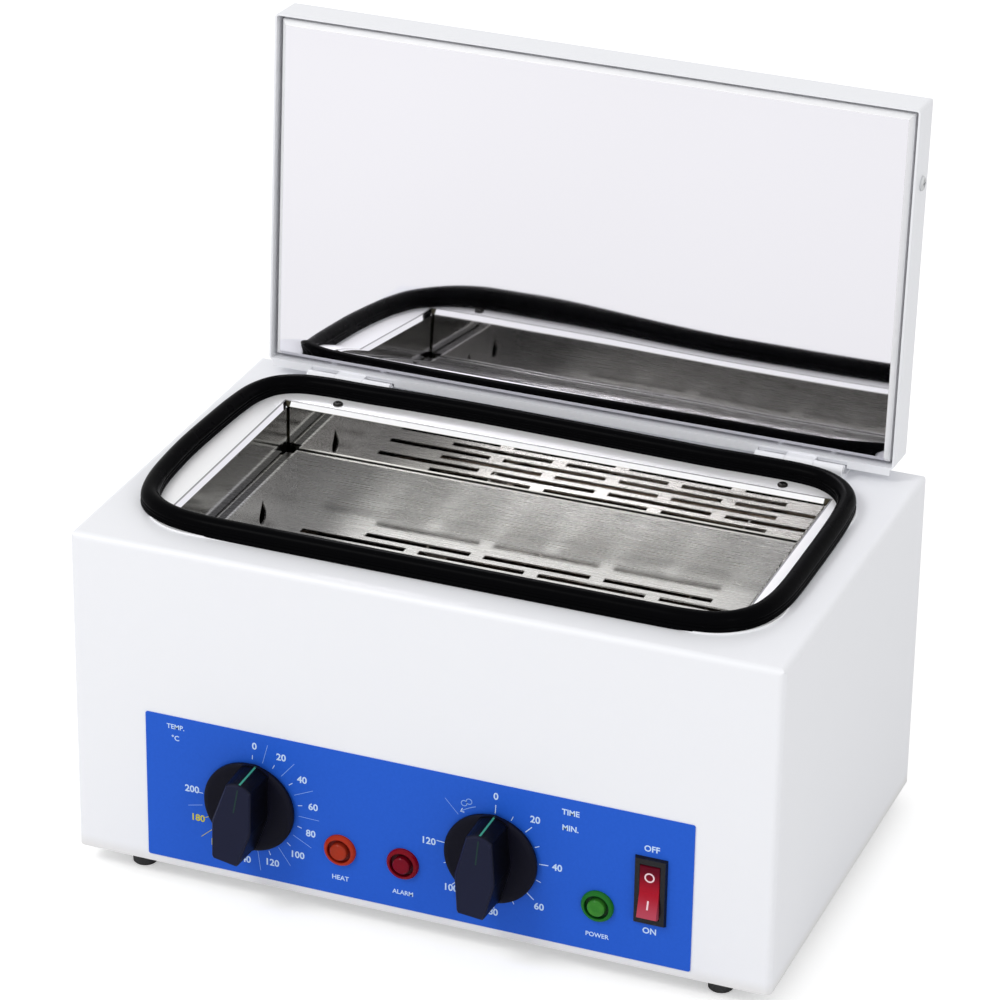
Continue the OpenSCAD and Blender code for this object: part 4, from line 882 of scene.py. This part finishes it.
NUMBER_STEP = 20
NUMBER_SIZE = 4.8
TEMPERATURE_LEADS = (1.5,) * 11
TEMPERATURE_REACHES = (30.9, 31.8, 31.6, 31.5, 31.0, 31.4, 30.2, 29.8, 29.8, 29.9, 29.6)
TIMER_LEADS = (-0.4, -3.2, 0.9, 1.2, 1.0, -1.8, -3.0)
TIMER_REACHES = (31.2, 31.0, 31.2, 31.0, 28.8, 28.9, 30.9)
printed = dial_numbers(temperature_scale, TEMPERATURE_LEADS, TEMPERATURE_REACHES, hot=(160, 180))
printed += dial_numbers(timer_scale, TIMER_LEADS, TIMER_REACHES)

# %% Words beside the dials, lamps and switch
# Each line holds the text, its size, x, its height above the label's foot, and its boldness.
lamp_x = {name: centre_of("lamp_lens_" + name).x for name in ("amber", "red", "green")}
switch_x = centre_of("switch_rocker").x
for words, size, x, rise, bold in (
        ("TEMP.", 3.4, temperature_dial.x - 37.3 * MM, 69.7, 0.05),
        ("°C", 3.6, temperature_dial.x - 37.5 * MM, 63.9, 0.05),
        ("TIME", 3.9, timer_dial.x + 37.0 * MM, 68.2, 0.1),
        ("MIN.", 3.9, timer_dial.x + 37.0 * MM, 60.2, 0.1),
        ("HEAT", 3.4, lamp_x["amber"], 9.0, 0.05),
        ("ALARM", 3.2, lamp_x["red"], 8.4, 0.05),
        ("POWER", 3.2, lamp_x["green"], 8.4, 0.05),
        ("OFF", 4.2, switch_x, 58.5, 0.1),
        ("ON", 4.2, switch_x, 16.4, 0.1)):
    printed.append(lettering(words, size, x, label_low.z + rise * MM, white_ink, bold))
print("numbers and words on the label:", len(printed))

# %% [markdown]
# The timer's endless setting has a sign of its own: two touching rings and a small arrow along
# the dial. `stroke` draws any such line, as a flat band of one width along its points, and `band`
# makes the mesh for it: a ring of points at every step, and faces from each ring to the next.

# %% Signs drawn with a pen of one width
def band(name, rows, finish, closed=False):
    """A solid through rings of points, each ring joined to the next one."""
    sides = len(rows[0])
    rings = [list(range(i * sides, (i + 1) * sides)) for i in range(len(rows))]
    faces = [] if closed else [rings[0], rings[-1]]
    for here, there in zip(rings, rings[1:] + rings[:1] if closed else rings[1:]):
        for k in range(sides):
            faces.append((here[k], here[(k + 1) % sides], there[(k + 1) % sides], there[k]))
    mesh = bpy.data.meshes.new(name)
    mesh.from_pydata([point for row in rows for point in row], [], faces)
    mesh.materials.append(finish.material)
    return outward(placed(name, mesh))


def stroke(name, points, width, finish, closed=False, thick=INK, y=ink_y):
    """A flat band along points (x, z) in metres, with the middle of its thickness at y."""
    count = len(points)
    spots = [Vector(p) for p in points]
    rows = []
    for index, spot in enumerate(spots):
        before = spots[index - 1] if closed or index else spot
        after = spots[(index + 1) % count] if closed or index < count - 1 else spot
        run = (after - before).normalized()
        aside = Vector((-run.y, run.x)) * (width / 2)
        corners = ((spot + aside, -1), (spot - aside, -1), (spot - aside, 1), (spot + aside, 1))
        rows.append([(p.x, y + way * thick / 2, p.y) for p, way in corners])
    return band(name, rows, finish, closed)


def circle(x, z, radius, steps=24):
    """Points round a circle."""
    return [(x + radius * math.cos(math.tau * k / steps), z + radius * math.sin(math.tau * k / steps))
            for k in range(steps)]


def on_timer(radius, degrees):
    """A point on the timer's dial, radius mm from its axis."""
    a = math.radians(degrees)
    return timer_dial.x + radius * MM * math.sin(a), timer_dial.z + radius * MM * math.cos(a)


# %% The endless sign and its arrow
SIGN_X = timer_dial.x - 12.6 * MM
SIGN_Z = timer_dial.z + 25.1 * MM
SIGN_TILT = math.radians(28)
RING_RADIUS = 1.35 * MM
for side in (-RING_RADIUS, RING_RADIUS):
    ring = circle(SIGN_X + side * math.cos(SIGN_TILT), SIGN_Z + side * math.sin(SIGN_TILT), RING_RADIUS)
    printed.append(stroke("endless_ring", ring, 0.36 * MM, pale_ink, closed=True))

ARROW_RADIUS = 25.2
ARROW_FROM = -19
ARROW_STEP = -1.55
ARROW_POINTS = 13
arc = [on_timer(ARROW_RADIUS, ARROW_FROM + ARROW_STEP * k) for k in range(ARROW_POINTS)]
barbs = [on_timer(ARROW_RADIUS + 0.9, -33.8), on_timer(ARROW_RADIUS, -37.9),
         on_timer(ARROW_RADIUS - 1.1, -34.4)]
printed.append(stroke("endless_arc", arc, 0.3 * MM, pale_ink))
printed.append(stroke("endless_barbs", barbs, 0.45 * MM, white_ink))

label_print = merged("label_print", printed)
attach(label_print, "cabinet")
print("label print:", len(label_print.data.polygons), "faces")

# %% [markdown]
# ## Marks on the moving controls
#
# The rocker's signs and the knobs' pointer lines lie on curved or tilted faces that move. A ray
# is cast at the CAD node for every point of such a mark, and the point is set down where the ray
# lands, so that the mark's face stands a few hundredths of a millimetre proud.

# %% Marks that lie on a CAD surface
BACKWARDS = Vector((0, 1, 0))


def surface_of(node):
    """A CAD node's surface, for rays to land on."""
    mesh = nodes[node].data
    return BVHTree.FromPolygons([v.co for v in mesh.vertices], [tuple(p.vertices) for p in mesh.polygons])


def laid(piece, node):
    """Moves a flat mark, drawn about y = 0, back onto the node's front."""
    surface = surface_of(node)
    for vertex in piece.data.vertices:
        start = Vector((vertex.co.x, cad_low.y - 50 * MM, vertex.co.z))
        vertex.co.y += surface.ray_cast(start, BACKWARDS)[0].y
    return piece


OFF_SIGN_Z = 59.0 * MM
OFF_SIGN_RADIUS = 2.05 * MM
ON_SIGN_Z = 45.7 * MM
ON_SIGN_HALF = 2.0 * MM
sign_ink = ink("sign_ink", srgb(236, 208, 214))
off_line = circle(switch_x, OFF_SIGN_Z, OFF_SIGN_RADIUS)
on_line = [(switch_x, ON_SIGN_Z + rise) for rise in (-ON_SIGN_HALF, 0.0, ON_SIGN_HALF)]
off_sign = stroke("off_sign", off_line, 0.7 * MM, sign_ink, closed=True, thick=2 * INK, y=0.0)
on_sign = stroke("on_sign", on_line, 0.8 * MM, sign_ink, thick=2 * INK, y=0.0)
rocker_signs = merged("rocker_signs", [laid(sign, "switch_rocker") for sign in (off_sign, on_sign)])
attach(rocker_signs, "rocker")
print("rocker signs:", len(rocker_signs.data.polygons), "faces")

# %% [markdown]
# A knob's pointer line is moulded in: it runs down the end of the wing, from the skirt to the
# crown, and on across the crown, where most of its green has worn off. Rays find the first
# stretch from outside the knob, towards its axis, and the second from in front. Each point of the
# line gives one ring of `band`: three corners just proud of the knob and three sunk into it.

# %% Pointer lines on the knobs
POINTER_WIDTH = 0.9 * MM
WORN_WIDTH = POINTER_WIDTH * 0.7
PROUD = -0.06 * MM
SUNK = 0.12 * MM
RING_CORNERS = ((-0.5, PROUD), (0, PROUD), (0.5, PROUD), (0.5, SUNK), (0, SUNK), (-0.5, SUNK))


def pointer_line(name, node, centre, turn, finish, rays, width):
    """A closed band laid on a knob. rays gives (radius, y, inward) for each point along the line."""
    surface = surface_of(node)
    out = Vector((math.sin(math.radians(turn)), 0, math.cos(math.radians(turn))))
    aside = Vector((out.z, 0, -out.x))
    rows = []
    for radius, y, inward in rays:
        way = -out if inward else BACKWARDS
        middle = Vector((centre.x, y, centre.z)) + out * radius
        rows.append([surface.ray_cast(middle + aside * (share * width), way)[0] + way * sink
                     for share, sink in RING_CORNERS])
    return band(name, rows, finish)


# %% Both pointer lines
# The line's points, in millimetres: depths behind the crown, then distances from the axis.
DOWN_DEPTHS = (18.25, 17.8, 16, 12, 8, 4, 1.4)
OVER_RADII = (20.4, 17, 13, 8)
FROM_OUTSIDE = 40 * MM
FROM_IN_FRONT = 20 * MM
pointer_green = ink("pointer_green", srgb(60, 150, 128))
worn_green = ink("worn_green", srgb(20, 50, 46))
for name, centre, turn in (("temperature", temperature_dial, 10.5), ("timer", timer_dial, 5.5)):
    knob = name + "_knob"
    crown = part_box(knob)[0].y
    down = [(FROM_OUTSIDE, crown + behind * MM, True) for behind in DOWN_DEPTHS]
    over = [(radius * MM, crown - FROM_IN_FRONT, False) for radius in OVER_RADII]
    line = merged(name + "_pointer", [
        pointer_line("down", knob, centre, turn, pointer_green, down, POINTER_WIDTH),
        pointer_line("over", knob, centre, turn, worn_green, over, WORN_WIDTH)])
    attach(line, name + "_control")
    print(line.name, "on", knob, "turned", turn, "degrees")

# %% [markdown]
# ## Studio
#
# The photograph's studio is white all round. The floor is matt, and it glows a little for the
# camera alone, so that it looks white without lighting the object.

# %% Floor
FLOOR_HALF = 6.0
FLOOR_GLOW = 0.38
floor_finish = Finish("studio_floor", (0.9, 0.9, 0.9), 0.9)
floor_mesh = bpy.data.meshes.new("studio_floor")
corners = [(x * FLOOR_HALF, y * FLOOR_HALF, 0) for x, y in ((-1, -1), (1, -1), (1, 1), (-1, 1))]
floor_mesh.from_pydata(corners, [], [(0, 1, 2, 3)])
floor_mesh.materials.append(floor_finish.material)
floor = placed("studio_floor", floor_mesh)
seen = floor_finish.add("ShaderNodeLightPath", out="Is Camera Ray")
floor_finish.set("Emission Color", (1.0, 1.0, 1.0, 1.0))
floor_finish.set("Emission Strength", seen * FLOOR_GLOW)
print("floor:", 2 * FLOOR_HALF, "m square")

# %% [markdown]
# The world is pure white to the camera, and to glossy rays too, because polished steel shows it.
# As a light on the object it is dimmer, or the white paint would burn out.

# %% World
LIGHT_LEVEL = 0.76
world = bpy.data.worlds.new("studio")
bpy.context.scene.world = world
world.use_nodes = True
sky = world.node_tree
background = sky.nodes["Background"]
path_kind = sky.nodes.new("ShaderNodeLightPath")
shown = sky.nodes.new("ShaderNodeMath")
shown.operation = "MAXIMUM"
sky.links.new(path_kind.outputs["Is Camera Ray"], shown.inputs[0])
sky.links.new(path_kind.outputs["Is Glossy Ray"], shown.inputs[1])
level = sky.nodes.new("ShaderNodeMix")
level.data_type = "FLOAT"
level.inputs[2].default_value = LIGHT_LEVEL
level.inputs[3].default_value = 1.0
sky.links.new(shown.outputs[0], level.inputs[0])
sky.links.new(level.outputs[0], background.inputs["Strength"])
background.inputs["Color"].default_value = (1.0, 1.0, 1.0, 1.0)
print("the world lights the object at", LIGHT_LEVEL)

# %% [markdown]
# A lamp from the upper left makes the front a little brighter than the right side, and a small
# one from the right gives the round edges their glints.

# %% Lamps
LAMP_AIM = (0, 0, 0.15)


def soft_lamp(name, place, size, power):
    """A square area lamp that faces the cabinet: its side in metres, its power in watts."""
    lamp = bpy.data.lights.new(name, "AREA")
    lamp.size = size
    lamp.energy = power
    holder = placed(name, lamp)
    holder.location = place
    holder.rotation_mode = "QUATERNION"
    holder.rotation_quaternion = (Vector(place) - Vector(LAMP_AIM)).to_track_quat("Z", "Y")
    print(name, "of", power, "W at", place)


soft_lamp("key_lamp", (-1.2, -1.6, 2.2), size=0.8, power=22)
soft_lamp("glint_lamp", (2.05, -1.55, 1.45), size=0.4, power=5)

# %% [markdown]
# ## Camera
#
# The viewpoint was solved from the straight edges of the cabinet in the photograph: how far they
# converge gives the distance, and their slopes give the direction. A long lens keeps the
# perspective as gentle as it is there.

# %% Camera
VIEWPOINT = (0.6569, -1.69657, 1.06709)
FOCAL_LENGTH = 159.26
AZIMUTH = math.radians(21.24)
ELEVATION = math.radians(26.14)
ROLL = math.radians(0.87)
back = Vector((math.sin(AZIMUTH) * math.cos(ELEVATION), -math.cos(AZIMUTH) * math.cos(ELEVATION),
               math.sin(ELEVATION)))
right = (-back).cross(Vector((0, 0, 1))).normalized()
up = right.cross(-back)
rolled_right = math.cos(ROLL) * right + math.sin(ROLL) * up
rolled_up = -math.sin(ROLL) * right + math.cos(ROLL) * up
camera = placed("camera", bpy.data.cameras.new("camera"))
camera.data.sensor_width = 36.0
camera.data.lens = FOCAL_LENGTH
camera.data.clip_end = 50.0
camera.matrix_world = Matrix.Translation(VIEWPOINT) @ Matrix(
    (rolled_right, rolled_up, back)).transposed().to_4x4()
bpy.context.scene.camera = camera
print("camera", round(Vector(VIEWPOINT).length, 2), "m from the origin")

# %% [markdown]
# ## Colour management
#
# The scene is shown without a film look.

# %% Colour management
bpy.context.scene.view_settings.view_transform = "Standard"
